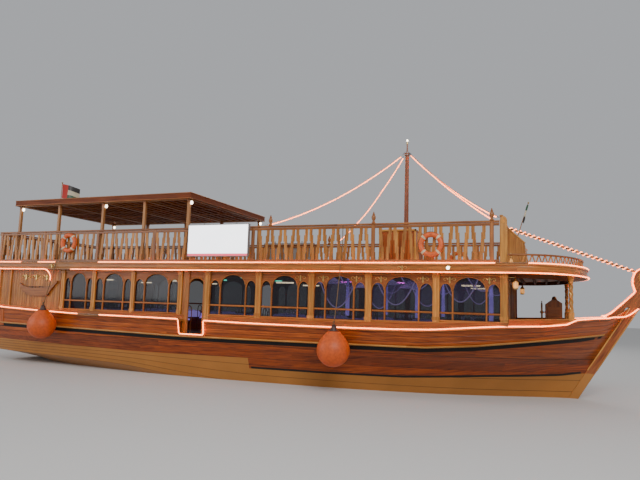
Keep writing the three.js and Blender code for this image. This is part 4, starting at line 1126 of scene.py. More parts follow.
for name, x0, x1 in (("front_door", 7.072, 7.113), ("cabin_door", -6.968, -6.927)):
    leaf, light, brassware = Mesh(), Mesh(), Mesh()
    mid, deep = (x0 + x1) / 2, x1 - x0
    for y in (-DOOR_HALF + 0.05, DOOR_HALF - 0.05):
        board(leaf, (mid, y, DOOR_FOOT), (mid, y, DOOR_HEAD), 0.1, deep, ACROSS, 0.004)
    for z, high in ((DOOR_FOOT + 0.09, 0.18), (1.92, 0.12), (DOOR_HEAD - 0.05, 0.1), (1.52, 0.07)):
        board(leaf, (mid, -DOOR_HALF + 0.1, z), (mid, DOOR_HALF - 0.1, z), high, deep, UP, 0.004)
    for z0, z1 in ((1.398, 1.485), (1.555, 1.86)):
        panel = [(-0.243, z0), (0.243, z0), (0.243, z1), (-0.243, z1)]
        slab(leaf, panel, athwart, mid - 0.014, mid + 0.014, 0.003)
        raised = [(-0.19, z0 + 0.03), (0.19, z0 + 0.03), (0.19, z1 - 0.03), (-0.19, z1 - 0.03)]
        slab(leaf, raised, athwart, x0 + 0.003, x1 - 0.003, 0.005)
    pane = [(-0.244, 1.98), (0.244, 1.98), (0.244, 2.892), (-0.244, 2.892)]
    slab(light, pane, athwart, mid - 0.003, mid + 0.003, 0.001)
    board(leaf, (mid, 0, 1.98), (mid, 0, 2.892), 0.03, 0.026, ACROSS, 0.004)
    for z in (2.28, 2.59):
        board(leaf, (mid, -0.243, z), (mid, 0.243, z), 0.03, 0.026, UP, 0.004)
    for face in (x0 - 0.022, x1 + 0.022):
        near = x0 if face < mid else x1
        tube(brassware, [(near, 0.29, 1.95), (face, 0.29, 1.95), (face, 0.17, 1.95)], 0.009, 8)
    leaf.place(name + "_leaf", door_wood, body=name, slot="dark_wood", replaces=[name])
    light.place(name + "_glass", smoked_glass, body=name)
    brassware.place(name + "_handles", brass, body=name)

fore_trim = Mesh()
for side in (-1, 1):
    for y, foot in ((0.42, 1.16), (1.1, 1.16), (1.72, 1.16), (2.16, 2.0)):
        board(fore_trim, (7.132, side * y, foot), (7.132, side * y, 3.158), 0.09, 0.024, ACROSS, 0.006)
    for z, reach in ((1.22, 1.72), (1.97, 1.95), (3.10, 2.2)):
        board(fore_trim, (7.130, side * 0.42, z), (7.130, side * reach, z), 0.08, 0.018, UP, 0.006)
    for y0, y1 in ((0.47, 1.05), (1.15, 1.67)):
        line = [(7.134, side * y, z) for y, z in arch_line(y0, y1, 2.72, 3.02, 14)]
        tube(fore_trim, line, 0.015, 6)
board(fore_trim, (7.132, -0.45, 3.04), (7.132, 0.45, 3.04), 0.08, 0.022, UP, 0.006)
fore_trim.place("front_bulkhead_trim", pillar_wood, slot="frame_wood")

# UPPER DECK AND ITS BAND
# The upper deck is planked on heavy beams that run out to a bent teak band, with a moulding along
# its top and bottom edges. It rounds the bow in one sweep.
BAND_Y = 2.53
NOSE_X = 7.40
NOSE_LONG = 1.67
DECK_AFT = -10.05
band_teak = varnished("band_teak", (0.20, 0.064, 0.011), (0.49, 0.185, 0.034), rough=0.3, coat=0.45)
upper_deck_planks = laid_deck("upper_deck_planks", (0.24, 0.105, 0.04), (0.42, 0.2, 0.085), 0.13)
finish_nodes(upper_deck_planks, "upper_deck")


def plan_line(half, nose, aft=DECK_AFT, from_x=None, centre=NOSE_X, steps=40):
    """Points and outward directions round the upper deck's edge, from aft to port by the bow."""
    start = aft if from_x is None else from_x
    line = []
    for x in spread(start, centre, 0.6):
        line.append((x, -half, 0.0, -1.0))
    for k in range(1, steps):
        a = -math.pi / 2 + math.pi * k / steps
        nx, ny = math.cos(a) / nose, math.sin(a) / half
        size = math.hypot(nx, ny)
        line.append((centre + nose * math.cos(a), half * math.sin(a), nx / size, ny / size))
    for x in spread(centre, start, 0.6) if start < centre else []:
        line.append((x, half, 0.0, 1.0))
    return line


def round_deck(made, line, section, lengths=3.4):
    """A strip of the given (out, z) section swept along a plan line, jointed every few metres."""
    n = len(section)
    start = len(made.points)
    along_line = [0.0]
    for (x0, y0, _, _), (x1, y1, _, _) in zip(line, line[1:]):
        along_line.append(along_line[-1] + math.hypot(x1 - x0, y1 - y0))
    for x, y, nx, ny in line:
        made.points += [(x + nx * out, y + ny * out, z) for out, z in section]
    girth = [0.0]
    for (o0, z0), (o1, z1) in zip(section, section[1:] + section[:1]):
        girth.append(girth[-1] + math.hypot(o1 - o0, z1 - z0))
    tones = {}
    for i in range(len(line) - 1):
        piece = int(along_line[i] / lengths)
        tones.setdefault(piece, random.uniform(0.3, 0.7))
        a, b = start + i * n, start + (i + 1) * n
        for k in range(n):
            m = (k + 1) % n
            u0, u1 = along_line[i], along_line[i + 1]
            grain = [(u0, girth[k]), (u1, girth[k]), (u1, girth[k + 1]), (u0, girth[k + 1])]
            made.face([a + k, b + k, b + m, a + m], grain, tones[piece])
    made.caps(start + (len(line) - 1) * n, start, n, 0.4)


def rounded(out, z, wide, high, points=8):
    """A closed section with a rounded outer side: out and z are its middle."""
    section = []
    for k in range(points):
        a = 2 * math.pi * (k + 0.5) / points
        c, s = math.cos(a), math.sin(a)
        c, s = math.copysign(abs(c) ** 0.6, c), math.copysign(abs(s) ** 0.6, s)
        section.append((out + wide / 2 * c, z + high / 2 * s))
    return section


band = Mesh()
edge = plan_line(BAND_Y, NOSE_LONG)
round_deck(
    band, edge,
    [(-0.02, 3.17), (0.010, 3.17), (0.013, 3.175), (0.013, 3.375), (0.010, 3.38), (-0.02, 3.38)],
)
band.place("deck_band", band_teak, smooth=True, slot="varnished_planks")
nosings = Mesh()
round_deck(nosings, edge, rounded(0.015, 3.3675, 0.054, 0.051, 8))
round_deck(nosings, edge, rounded(0.012, 3.1825, 0.052, 0.051, 8))
for z in (3.1825, 3.3675):
    x = DECK_AFT - 0.014
    board(nosings, (x, -BAND_FACE, z), (x, BAND_FACE, z), 0.05, 0.044, UP, 0.008)
nosings.place("band_mouldings", cap_wood, smooth=True, slot="varnished_planks")
end_band = Mesh()
x = DECK_AFT - 0.008
board(end_band, (x, -BAND_Y, 3.275), (x, BAND_Y, 3.275), 0.2, 0.016, UP, 0.004)
end_band.place("band_end", band_teak, slot="varnished_planks")
carling = Mesh()
ring_line = plan_line(BAND_Y - 0.40, NOSE_LONG - 0.40, from_x=7.125)
round_deck(carling, ring_line, [(-0.03, 3.06), (0.03, 3.06), (0.03, 3.157), (-0.03, 3.157)])
for x in (7.42, 7.74, 8.06, 8.38):
    round_to = max(x - NOSE_X, 0) / (NOSE_LONG - 0.435)
    half = (BAND_Y - 0.435) * math.sqrt(1 - round_to ** 2)
    board(carling, (x, -half, 3.122), (x, half, 3.122), 0.07, 0.06, UP, 0.006, 0.2)
# The beams under the deck's round are real, but their near-black matt colour is painted shade, the shadow
# under the upper deck.
shade_dark_beam_wood = varnished("shade_dark_beam_wood", (0.09, 0.028, 0.008), (0.20, 0.065, 0.018), rough=0.7, coat=0.0)
carling.place("nose_beams", shade_dark_beam_wood, slot="dark_wood")

# RAILS
# The upper deck's rails are sawn fretwork: flat boards that lean in turn to and fro, each cut to
# stepped edges, housed between a foot rail and a broad hand rail, with heavier posts between.
RAIL_AFT, RAIL_FORE, RAIL_Y = -9.95, 6.99, 2.43
FRET_FOOT, FRET_HEAD, FRET_WIDE, FRET_STEPS = 3.49, 4.35, 0.105, 5
fret_wood = varnished("fret_wood", (0.24, 0.075, 0.013), (0.62, 0.26, 0.055), rough=0.38, coat=0.3)
hand_rail_wood = varnished(
    "hand_rail_wood", (0.17, 0.055, 0.017), (0.40, 0.15, 0.045), rough=0.3, coat=0.45,
)
THICK_POSTS = [-9.855, -7.85, -5.55, -3.3, 0.16, 3.77, 6.81]
FINIALS = [0.70, 3.77, 6.81]


def fret_board(made, place, u, lean, out):
    """One leaning board with stepped edges, from the foot rail up to the hand rail."""
    left, right = [], []
    for k in range(FRET_STEPS):
        za, zb = [FRET_FOOT + (FRET_HEAD - FRET_FOOT) * (k + t) / FRET_STEPS for t in (0, 1)]
        shift = lean * ((k + 0.5) / FRET_STEPS - 0.5)
        w = FRET_WIDE * (0.5 if k % 2 else 0.40)
        left += [(u + shift - w, za), (u + shift - w, zb)]
        right += [(u + shift + w, za), (u + shift + w, zb)]
    slab(made, left + right[::-1], place, out - 0.013, out + 0.013, 0.003, grain=(0, 1))


for name, sign, node_name in (("port", 1, "rail_port"), ("stbd", -1, "rail_stbd")):
    fret, bars = Mesh(), Mesh()
    count = round((RAIL_FORE - RAIL_AFT) / 0.2)
    pitch = (RAIL_FORE - RAIL_AFT) / count
    for k in range(1, count):
        u = RAIL_AFT + k * pitch
        if min(abs(u - p) for p in THICK_POSTS) < 0.07:
            continue
        fret_board(fret, on_side(sign), u, 0.085 if k % 2 else -0.085, RAIL_Y)
    y = sign * RAIL_Y
    board(bars, (RAIL_AFT, y, 3.445), (RAIL_FORE, y, 3.445), 0.105, 0.04, UP, 0.01, 0.5)
    board(bars, (RAIL_AFT, y, 4.375), (RAIL_FORE, y, 4.375), 0.07, 0.04, UP, 0.008, 0.4)
    x = RAIL_AFT
    while x < RAIL_FORE - 0.01:
        to = min(x + 4.235, RAIL_FORE)
        board(bars, (x, sign * 2.4125, 4.446), (to, sign * 2.4125, 4.446), 0.048, 0.08, UP, 0.014)
        x = to
    for x in THICK_POSTS:
        board(bars, (x, y, 3.391), (x, y, 4.42), 0.10, 0.052, ALONG, 0.01)
    fret.place("fretwork_" + name, fret_wood, slot="rail_wood", replaces=[node_name])
    bars.place("rails_" + name, hand_rail_wood, slot="rail_wood")

aft_fret, aft_bars = Mesh(), Mesh()

for k in range(1, 24):
    u = -2.40 + k * 0.2
    fret_board(aft_fret, athwart, u, 0.085 if k % 2 else -0.085, -9.93)
for z, high, thick in ((3.445, 0.105, 0.04), (4.375, 0.07, 0.04), (4.446, 0.048, 0.08)):
    y = 2.36 if z > 4.4 else 2.40
    board(aft_bars, (-9.93, -y, z), (-9.93, y, z), high, thick, UP, 0.01)
aft_fret.place("fretwork_aft", fret_wood, slot="rail_wood", replaces=["rail_aft"])
aft_bars.place("rails_aft", hand_rail_wood, slot="rail_wood")


def turned(made, place, profile, sides=16, tone=0.5):
    """A turned piece: profile gives (radius, height) from foot to head."""
    start = len(made.points)
    n = len(profile)
    for r, h in profile:
        for k in range(sides):
            a = 2 * math.pi * k / sides
            made.points.append(place(r * math.cos(a), r * math.sin(a), h))
    girth = 0.0
    for i in range(n - 1):
        step = math.hypot(profile[i + 1][0] - profile[i][0], profile[i + 1][1] - profile[i][1])
        for k in range(sides):
            m = (k + 1) % sides
            a, b = start + i * sides, start + (i + 1) * sides
            v0, v1 = 0.12 * k / sides, 0.12 * (k + 1) / sides
            made.face(
                [a + k, a + m, b + m, b + k],
                [(girth, v0), (girth, v1), (girth + step, v1), (girth + step, v0)], tone,
            )
        girth += step
    made.caps(start, start + (n - 1) * sides, sides, tone)


finials = Mesh()
shape = [
    (0.052, 4.471), (0.056, 4.49), (0.040, 4.505), (0.030, 4.54), (0.046, 4.575), (0.060, 4.62),
    (0.052, 4.665), (0.030, 4.70), (0.036, 4.715), (0.022, 4.74), (0.010, 4.785),
]
for sign in (-1, 1):
    for x in FINIALS:
        turned(finials, standing(x, sign * 2.412, 0), shape)
finials.place("rail_finials", hand_rail_wood, smooth=True, slot="rail_wood")

# NOSE RAIL
# A low rail follows the round of the deck ahead of the screen: slats set in a V between a foot
# strip and a slim bent top rail.
nose_bars, nose_slats = Mesh(), Mesh()
nose_line = plan_line(2.435, 1.575, from_x=7.18)
round_deck(nose_bars, nose_line, rounded(0, 3.6175, 0.06, 0.045))
round_deck(nose_bars, nose_line, rounded(0, 3.408, 0.045, 0.034))
reach = [0.0]
for (x0, y0, _, _), (x1, y1, _, _) in zip(nose_line, nose_line[1:]):
    reach.append(reach[-1] + math.hypot(x1 - x0, y1 - y0))


def on_nose(distance):
    i = max(k for k in range(len(reach) - 1) if reach[k] <= distance + 1e-9)
    t = (distance - reach[i]) / (reach[i + 1] - reach[i])
    p, q = nose_line[i], nose_line[i + 1]
    return [p[k] + (q[k] - p[k]) * t for k in range(4)]


slats = 84
for k in range(slats):
    a = reach[-1] * (k + 0.1) / slats
    b = reach[-1] * (k + 0.9) / slats
    if k % 2:
        a, b = b, a
    p, q = on_nose(a), on_nose(b)
    board(nose_slats, (p[0], p[1], 3.42), (q[0], q[1], 3.60), 0.03, 0.016, (p[3], -p[2], 0), 0.003)
nose_bars.place("nose_rail_bars", hand_rail_wood, smooth=True, slot="rail_wood", replaces=["nose_rail"])
nose_slats.place("nose_rail_slats", fret_wood, slot="rail_wood")

# FRONT SCREEN
# A boarded screen with a sloping hood closes the front of the upper deck. Its boards are upright,
# its cap is moulded, and a stout round-headed post stands at each end.
SCREEN_X, SCREEN_Y = 7.03, 2.33
screen = Mesh()
for k in range(38):
    y = -2.32 + 0.122 * (k + 0.5)
    board(screen, (SCREEN_X, y, 3.392), (SCREEN_X, y, 4.575), 0.12, 0.052, ACROSS, 0.006)
screen.place("screen_boards", bulwark_teak, slot="varnished_planks", replaces=["front_screen"])
HOOD_LINE = [(7.552, 3.40), (7.552, 3.66), (7.522, 4.03), (7.155, 4.437), (7.062, 4.493)]
hood = Mesh()
hood_side = [(7.062, 3.392), (7.56, 3.392), (7.56, 3.66), (7.53, 4.03), (7.16, 4.44), (7.062, 4.50)]
for side in (-1, 1):
    slab(hood, hood_side, upright, side * 0.985 - 0.018, side * 0.985 + 0.018, 0.006, grain=(0, 1))
for k in range(16):
    y = -0.967 + 0.1209 * (k + 0.5)
    for (xa, za), (xb, zb) in zip(HOOD_LINE, HOOD_LINE[1:]):
        board(hood, (xa, y, za), (xb, y, zb), 0.118, 0.022, ACROSS, 0.004)
hood.place("screen_hood", pillar_wood, slot="varnished_planks")
screen_trim = Mesh()
board(screen_trim, (SCREEN_X, -SCREEN_Y, 4.597), (SCREEN_X, SCREEN_Y, 4.597), 0.09, 0.046, ALONG, 0.014)
for x in (7.0, 7.06):
    for z, high in ((3.43, 0.075), (4.05, 0.06)):
        board(screen_trim, (x, -SCREEN_Y, z), (x, SCREEN_Y, z), high, 0.014, UP, 0.004)
for side in (-1, 1):
    post_head = [(7.0, 3.391), (7.17, 3.391), (7.17, 4.42)]
    for k in range(9):
        a = k * math.pi / 8
        post_head.append((7.085 + 0.085 * math.cos(a), 4.47 + 0.1 * math.sin(a)))
    post_head += [(7.0, 4.42)]
    slab(screen_trim, post_head, upright, side * 2.39 - 0.065, side * 2.39 + 0.065, 0.014, grain=(0, 1))
    tube(screen_trim, [(7.085, side * 2.458, 4.44), (7.085, side * 2.462, 4.44)], 0.05, 14)
    board(screen_trim, (7.06, side * 0.985, 4.50), (7.54, side * 0.985, 4.05), 0.05, 0.05, ACROSS, 0.012)
screen_trim.place("screen_trim", pillar_wood, slot="frame_wood")

# CANOPY
# A flat boarded canopy on five pairs of square posts shades the after part of the deck: dark
# ceiling boards over athwart joists, and a moulded fascia all round.
CANOPY_POSTS = [-9.17, -7.39, -5.50, -3.83, -2.17]
CANOPY_AFT, CANOPY_FORE, CANOPY_Y = -9.30, -2.02, 2.48
FASCIA_LOW, FASCIA_HIGH = 5.388, 5.553
canopy_post_wood = varnished(
    "canopy_post_wood", (0.26, 0.095, 0.026), (0.50, 0.22, 0.065), grain="z", rough=0.34,
)
finish_nodes(canopy_post_wood, "canopy_frame")
canopy_wood = varnished(
    "canopy_wood", (0.085, 0.016, 0.004), (0.24, 0.055, 0.012), grain="x", rough=0.62, coat=0.02,
)
finish_nodes(canopy_wood, "canopy_roof")
joist_wood = varnished("joist_wood", (0.20, 0.055, 0.012), (0.46, 0.16, 0.034), rough=0.36, coat=0.3)
joists, fascia = Mesh(), Mesh()
x = -9.1
while x < -2.1:
    if min(abs(x - p) for p in CANOPY_POSTS) > 0.1:
        board(joists, (x, -2.27, 5.415), (x, 2.27, 5.415), 0.05, 0.045, UP, 0.006)
    x += 0.29
for y in (-1.5, -0.5, 0.5, 1.5):
    board(joists, (-9.2, y, 5.385), (-2.1, y, 5.385), 0.022, 0.03, UP, 0.006)
joists.place("canopy_joists", joist_wood, slot="dark_wood")
for side in (-1, 1):
    for z, out in ((FASCIA_LOW, 0.008), (FASCIA_HIGH, 0.012)):
        y = side * (CANOPY_Y + out / 2)
        board(fascia, (CANOPY_AFT, y, z), (CANOPY_FORE, y, z), 0.026, 0.024, UP, 0.008)
for x in (CANOPY_AFT - 0.005, CANOPY_FORE + 0.005):
    for z in (FASCIA_LOW, FASCIA_HIGH):
        board(fascia, (x, -CANOPY_Y, z), (x, CANOPY_Y, z), 0.026, 0.024, UP, 0.008)
for x in CANOPY_POSTS:
    for side in (-1, 1):
        y = side * 2.325
        for z, grow in ((3.43, 0.02), (3.53, 0.012), (5.29, 0.008), (5.34, 0.014)):
            w = 0.084 + 2 * grow
            board(fascia, (x, y, z - 0.018), (x, y, z + 0.018), w, w, ALONG, 0.008)
fascia.place("canopy_trim", joist_wood, slot="dark_wood")

# MAST AND ITS CABINET
# The short mast is a varnished pole stepped through a teak locker, with an iron band at the hounds
# for the stays and a thin topmast above.
mast_wood = varnished("mast_wood", (0.16, 0.04, 0.012), (0.36, 0.10, 0.03), grain="z", rough=0.28, coat=0.5)
finish_nodes(mast_wood, "mast")
MAST_X = 4.1
HOUND_Z = 6.98
locker = Mesh()
for side in (-1, 1):
    y = side * 0.505
    for k in range(9):
        x = 3.45 + 0.12 * k + 0.03
        board(locker, (x, y, 3.46), (x, y, 4.50), 0.115, 0.026, ALONG, 0.004)
for x in (3.435, 4.485):
    for k in range(8):
        y = -0.455 + 0.13 * k
        board(locker, (x, y, 3.46), (x, y, 4.50), 0.125, 0.026, ACROSS, 0.004)
locker.place("locker_boards", bulwark_teak, slot="varnished_planks", replaces=["mast_cabinet"])
locker_trim = Mesh()
for z, high in ((3.426, 0.07), (4.528, 0.06)):
    for side in (-1, 1):
        board(locker_trim, (3.395, side * 0.522, z), (4.525, side * 0.522, z), high, 0.046, UP, 0.01)
        x = 3.96 + side * 0.542
        board(locker_trim, (x, -0.545, z), (x, 0.545, z), high, 0.046, UP, 0.01)
for side in (-1, 1):
    for x in (3.43, 3.96, 4.49):
        board(locker_trim, (x, side * 0.512, 3.46), (x, side * 0.512, 4.50), 0.06, 0.036, ALONG, 0.008)
for k in range(9):
    y = -0.4622 + 0.1156 * k
    for a, b in ((3.42, 4.005), (4.195, 4.50)) if abs(y) < 0.14 else ((3.42, 4.50),):
        board(locker_trim, (a, y, 4.545), (b, y, 4.545), 0.112, 0.028, ACROSS, 0.004)
locker_trim.place("locker_trim", pillar_wood, slot="frame_wood")
ironwork = Mesh()
for z in (HOUND_Z - 0.03, HOUND_Z + 0.03):
    ring = [(MAST_X + 0.078 * math.cos(a), 0.078 * math.sin(a), z) for a in angles(20)]
    tube(ironwork, ring, 0.012, 6, closed=True)
for a in (0.0, 0.6, -0.6, 2.6, -2.6):
    loop = []
    for b in angles(10):
        out = 0.10 + 0.022 * math.cos(b)
        z = HOUND_Z + 0.022 * math.sin(b)
        loop.append((MAST_X + math.cos(a) * out, math.sin(a) * out, z))
    tube(ironwork, loop, 0.006, 5, closed=True)
galvanised = painted_metal("galvanised", (0.45, 0.46, 0.47), 0.42, 0.9, 50)
ironwork.place("mast_ironwork", galvanised, smooth=True, slot="stay_wire")

# ROPE LIGHTS AND STAYS
# Clear plastic hose with small warm lamps inside is clipped along the covering board, down and
# round the boarding notch, along both edges of the deck band, and lashed to the wire stays.
LAMP_R = 0.012
HOSE_R = 0.022
LIGHT_Y = 2.562
UPPER_LIGHT, LOWER_LIGHT = 3.405, 3.168


def lamp_glow(name, colour, strength, alpha=1.0):
    lamp = Finish(name)
    beads = lamp.noise(lamp.where(), 26)
    return lamp.done({
        "Base Color": [min(1, c * 0.9) for c in colour],
        "Emission Color": colour,
        "Emission Strength": lamp.ranged(beads, strength * 0.75, strength * 1.2, 0.3, 0.7),
        "Roughness": 0.25,
        "Alpha": alpha,
    })


warm_lamps = lamp_glow("warm_lamps", (1.0, 0.66, 0.30), 9.0)
amber_hose = lamp_glow("amber_hose", (1.0, 0.15, 0.015), 2.2, 0.7)
unlit_hose = lamp_glow("unlit_hose", (0.30, 0.13, 0.05), 0.03, 0.6)
lamps, hose, unlit = Mesh(), Mesh(), Mesh()


def string_lights(path, lit=True, size=1.0):
    if lit:
        tube(lamps, path, LAMP_R * size, 6)
        tube(hose, path, HOSE_R * size, 8)
    else:
        tube(unlit, path, HOSE_R * 0.8 * size, 6)


def gunwale(x, sign):
    row = station(x)
    out = row[9] + overhang(x) + 0.012
    return (raked(x, row[10]), sign * out, row[10] + 0.006)


for sign in (-1, 1):
    aft_run = [gunwale(x, sign) for x in spread(-9.88, -6.03, 0.3)]
    gap = [gunwale(x, sign) for x in spread(-6.03, -5.13, 0.3)]
    to_notch = [gunwale(x, sign) for x in spread(-5.13, NOTCH[0] - 0.03, 0.3)]
    low_y = sign * (side_y(station(-1.7), NOTCH_SILL) + 0.055)
    high = gunwale(NOTCH[0], sign)
    down = [
        (NOTCH[0], high[1], high[2] - 0.04),
        (NOTCH[0] + 0.01, (high[1] + low_y) / 2, 1.5),
        (NOTCH[0] + 0.015, low_y, 1.31), (NOTCH[0] + 0.045, low_y, NOTCH_SILL + 0.01),
        (-1.70, low_y, NOTCH_SILL + 0.008),
        (NOTCH[1] - 0.045, low_y, NOTCH_SILL + 0.01), (NOTCH[1] - 0.015, low_y, 1.31),
        (NOTCH[1] - 0.01, (high[1] + low_y) / 2, 1.5),
        (NOTCH[1], high[1], high[2] - 0.04),
    ]
    fore_run = [gunwale(x, sign) for x in spread(NOTCH[1] + 0.03, 6.5, 0.25)]
    dip = ((6.75, 0.012), (7.0, 0.03), (7.2, 0.05), (7.36, 0.07), (7.41, 0.075))
    for x, drop in dip:
        a = gunwale(x, sign)
        fore_run.append((a[0], a[1], a[2] - drop))
    fore_run += [gunwale(x, sign) for x in spread(7.58, 8.3, 0.12)]
    closing = [(9.80, 0.45, 2.18), (9.95, 0.27, 2.20), (10.06, 0.165, 2.25), (10.16, 0.11, 2.32)]
    to_stem = [(x, sign * y, z) for x, y, z in closing + [(10.27, 0.098, 2.41)]]
    string_lights(smooth_line(aft_run, 2))
    string_lights(gap, lit=False)
    string_lights(to_notch + down + fore_run + to_stem)
    head_line = [
        (9.535, 2.225), (9.648, 2.298), (9.80, 2.44), (9.93, 2.562), (10.045, 2.675),
        (10.20, 2.842), (10.193, 2.925), (10.162, 3.06), (10.176, 3.228), (10.246, 3.377),
        (10.372, 3.458), (10.53, 3.463), (10.675, 3.362), (10.735, 3.19),
    ]
    string_lights(smooth_line([(9.44, sign * 0.34, 2.19)] + [(x, sign * 0.06, z) for x, z in head_line], 4))
    for x0, x1, lit in (
        (-10.0, -8.71, True), (-8.71, -7.93, False), (-7.93, -7.17, True), (-7.17, -5.35, False),
    ):
        string_lights([(x, sign * LIGHT_Y, UPPER_LIGHT) for x in spread(x0, x1, 0.5)], lit)
    low_aft = [(x, sign * 2.58, LOWER_LIGHT) for x in spread(-10.0, -7.62, 0.5)]
    dropping = (-7.51, 2.575, 3.145), (-7.44, 2.52, 3.05), (-7.47, 2.42, 2.92), (-7.50, 2.40, 2.80)
    bend = [(x, sign * y, z) for x, y, z in dropping]
    string_lights(low_aft + bend)
    string_lights([(x, sign * 2.578, LOWER_LIGHT) for x in (-7.42, -6.9, -6.46)], lit=False)
upper_side = [(x, -LIGHT_Y, UPPER_LIGHT) for x in spread(-5.35, 6.9, 0.6)]
string_lights(upper_side)
string_lights([(x, -y, z) for x, y, z in upper_side])
for sign in (-1, 1):
    string_lights([(x, sign * LIGHT_Y, UPPER_LIGHT) for x in (6.9, 7.25, 7.4, 7.6)], lit=False)
nose_arc = plan_line(BAND_Y + 0.032, NOSE_LONG + 0.032, from_x=7.39, steps=60)
string_lights([(x, y, UPPER_LIGHT) for x, y, _, _ in nose_arc if x > 7.58])
low_edge = plan_line(BAND_Y + 0.05, NOSE_LONG + 0.05, from_x=-6.46, steps=60)
string_lights([(x, y, LOWER_LIGHT + 0.016 * eased(-1.0, 1.5, y)) for x, y, _, _ in low_edge])


def slack_line(a, b, sag, steps):
    """Points of a stay between its ends, hanging by its slack at the middle."""
    line = []
    for k in range(steps + 1):
        t = k / steps
        line.append(Vector(a).lerp(Vector(b), t) - Vector((0, 0, 4 * sag * t * (1 - t))))
    return line


def lashed(a, b, sag, windings):
    """Rope light along a wire stay, either lashed under it or wound round it."""
    run = (Vector(b) - Vector(a)).normalized()
    side = run.cross(Vector(UP)).normalized()
    under = side.cross(run)
    if not windings:
        line = slack_line(a, b, sag, 40)
        return [p - under * 0.024 + side * 0.006 * math.sin(0.4 * k) for k, p in enumerate(line)][1:-1]
    turns = [2 * math.pi * k / 10 for k in range(windings * 10 + 1)]
    line = slack_line(a, b, sag, len(turns) - 1)
    return [p + (side * math.cos(turn) + under * math.sin(turn)) * 0.038 for p, turn in zip(line, turns)]


stays = {
    "screen_stay": ((MAST_X + 0.10, 0, HOUND_Z), (6.985, -2.385, 4.546), 0.16, 0),
    "bow_stay_stbd": ((MAST_X + 0.085, -0.05, HOUND_Z), (6.86, -2.378, 4.492), 0.11, 0),
    "aft_stay_port": ((MAST_X - 0.09, 0.05, HOUND_Z), (0.94, 2.42, 4.492), 0.29, 0),
    "aft_stay_stbd": ((MAST_X - 0.09, -0.05, HOUND_Z), (0.50, -2.377, 4.492), 0.29, 0),
    "forestay": ((7.11, 0, 4.587), (10.24, 0, 3.375), 0.0, 26),
}
lashings = Mesh()
for a, b, sag, windings in stays.values():
    path = lashed(a, b, sag, windings)
    tube(lamps, path, LAMP_R * 0.85, 6)
    tube(hose, path, HOSE_R * 0.85, 6)
    if windings:
        tube(lashings, slack_line(a, b, sag, 12), 0.027, 10)
    else:
        for p in slack_line(a, b, sag, 10)[1:-1]:
            turn = [(0, 0, -0.045), (0.014, 0.0, -0.012), (0, 0, 0.014), (-0.014, 0.0, -0.012)]
            tube(lashings, [p + Vector(step) for step in turn], 0.004, 5, closed=True)
lamps.place("rope_light_lamps", warm_lamps, smooth=True)
hose.place("rope_light_hose", amber_hose, smooth=True)
unlit.place("rope_light_unlit", unlit_hose, smooth=True)


def twine(name, colour):
    rope = Finish(name)
    lay = rope.add("ShaderNodeTexWave", {"Scale": 60, "Distortion": 3})
    return rope.done({
        "Base Color": rope.ramp(lay, [c * 0.5 for c in colour], colour),
        "Roughness": 0.9,
        "Normal": rope.bump(lay, 0.5, 0.003),
    })


hemp = twine("hemp", (0.24, 0.14, 0.06))
lashings.place("stay_lashings", hemp)


def wire_rope(name):
    """Galvanised wire rope: the strands show as fine slanting lines."""
    wire = Finish(name)
    strands = wire.add("ShaderNodeTexWave", {"Vector": wire.where(), "Scale": 40}, wave_type="BANDS")
    colour = wire.ramp(strands, (0.16, 0.15, 0.14), (0.5, 0.5, 0.49))
    return wire.done({"Base Color": colour, "Metallic": 0.9, "Roughness": 0.45})


finish_nodes(wire_rope("wire_rope"), *stays)

# SIGN BOXES
# A shallow white light box hangs outside each rail, in a painted metal frame, with a rose strip
# along its foot. Its face is plain.


def sign_panel(name):
    panel = Finish(name)
    strip = panel.reckon("LESS_THAN", panel.axis(2), 3.665)
    white = panel.ramp(panel.noise(panel.where(), 1.6), (0.86, 0.88, 0.93), (0.97, 0.97, 1.0))
    colour = panel.mix(strip, white, (0.50, 0.055, 0.09))
    return panel.done({
        "Base Color": colour,
        "Emission Color": colour,
        "Emission Strength": 2.6,
        "Roughness": 0.3,
    })


sign_face = sign_panel("sign_face")
frame_paint = painted_metal("sign_frame_paint", (0.30, 0.28, 0.27), 0.4, 0.2)
face, frames = Mesh(), Mesh()
for sign in (-1, 1):
    sheet = [(-1.975, 3.595), (0.055, 3.595), (0.055, 4.515), (-1.975, 4.515)]
    slab(face, sheet, on_side(sign), 2.453, 2.553, 0.004)
    slab(frames, sheet, on_side(sign), 2.4445, 2.4525, 0.002)
    for z in (3.588, 4.522):
        board(frames, (-1.99, sign * 2.506, z), (0.07, sign * 2.506, z), 0.022, 0.108, UP, 0.004)
    for x in (-1.98, 0.06):
        board(frames, (x, sign * 2.506, 3.60), (x, sign * 2.506, 4.51), 0.022, 0.108, ALONG, 0.004)
    for x in (-1.5, -0.4):
        board(frames, (x, sign * 2.44, 4.50), (x, sign * 2.44, 4.60), 0.03, 0.02, ALONG, 0.003)
face.place("sign_faces", sign_face, slot="sign_face", replaces=["sign_port", "sign_stbd"])
frames.place("sign_frames", frame_paint, slot="stay_wire")

# LIFEBUOYS
# Two orange ring buoys a side hang on the rail, each with four pale bands and a grab line. They are
# moulded foam with a tough skin, hung from the hand rail by a short sling.
BUOYS = {"fore": (5.33, 3.87), "aft": (-6.68, 4.04)}
RING_R, RING_THICK = 0.262, 0.072


def moulded_foam(name, base, grime):
    foam = Finish(name)
    return foam.done({
        "Base Color": foam.ramp(foam.noise(foam.where(), 14, 6), grime, base, 0.32, 0.6),
        "Roughness": 0.5,
        "Normal": foam.bump(foam.noise(foam.where(), 220), 0.2, 0.002),
    })


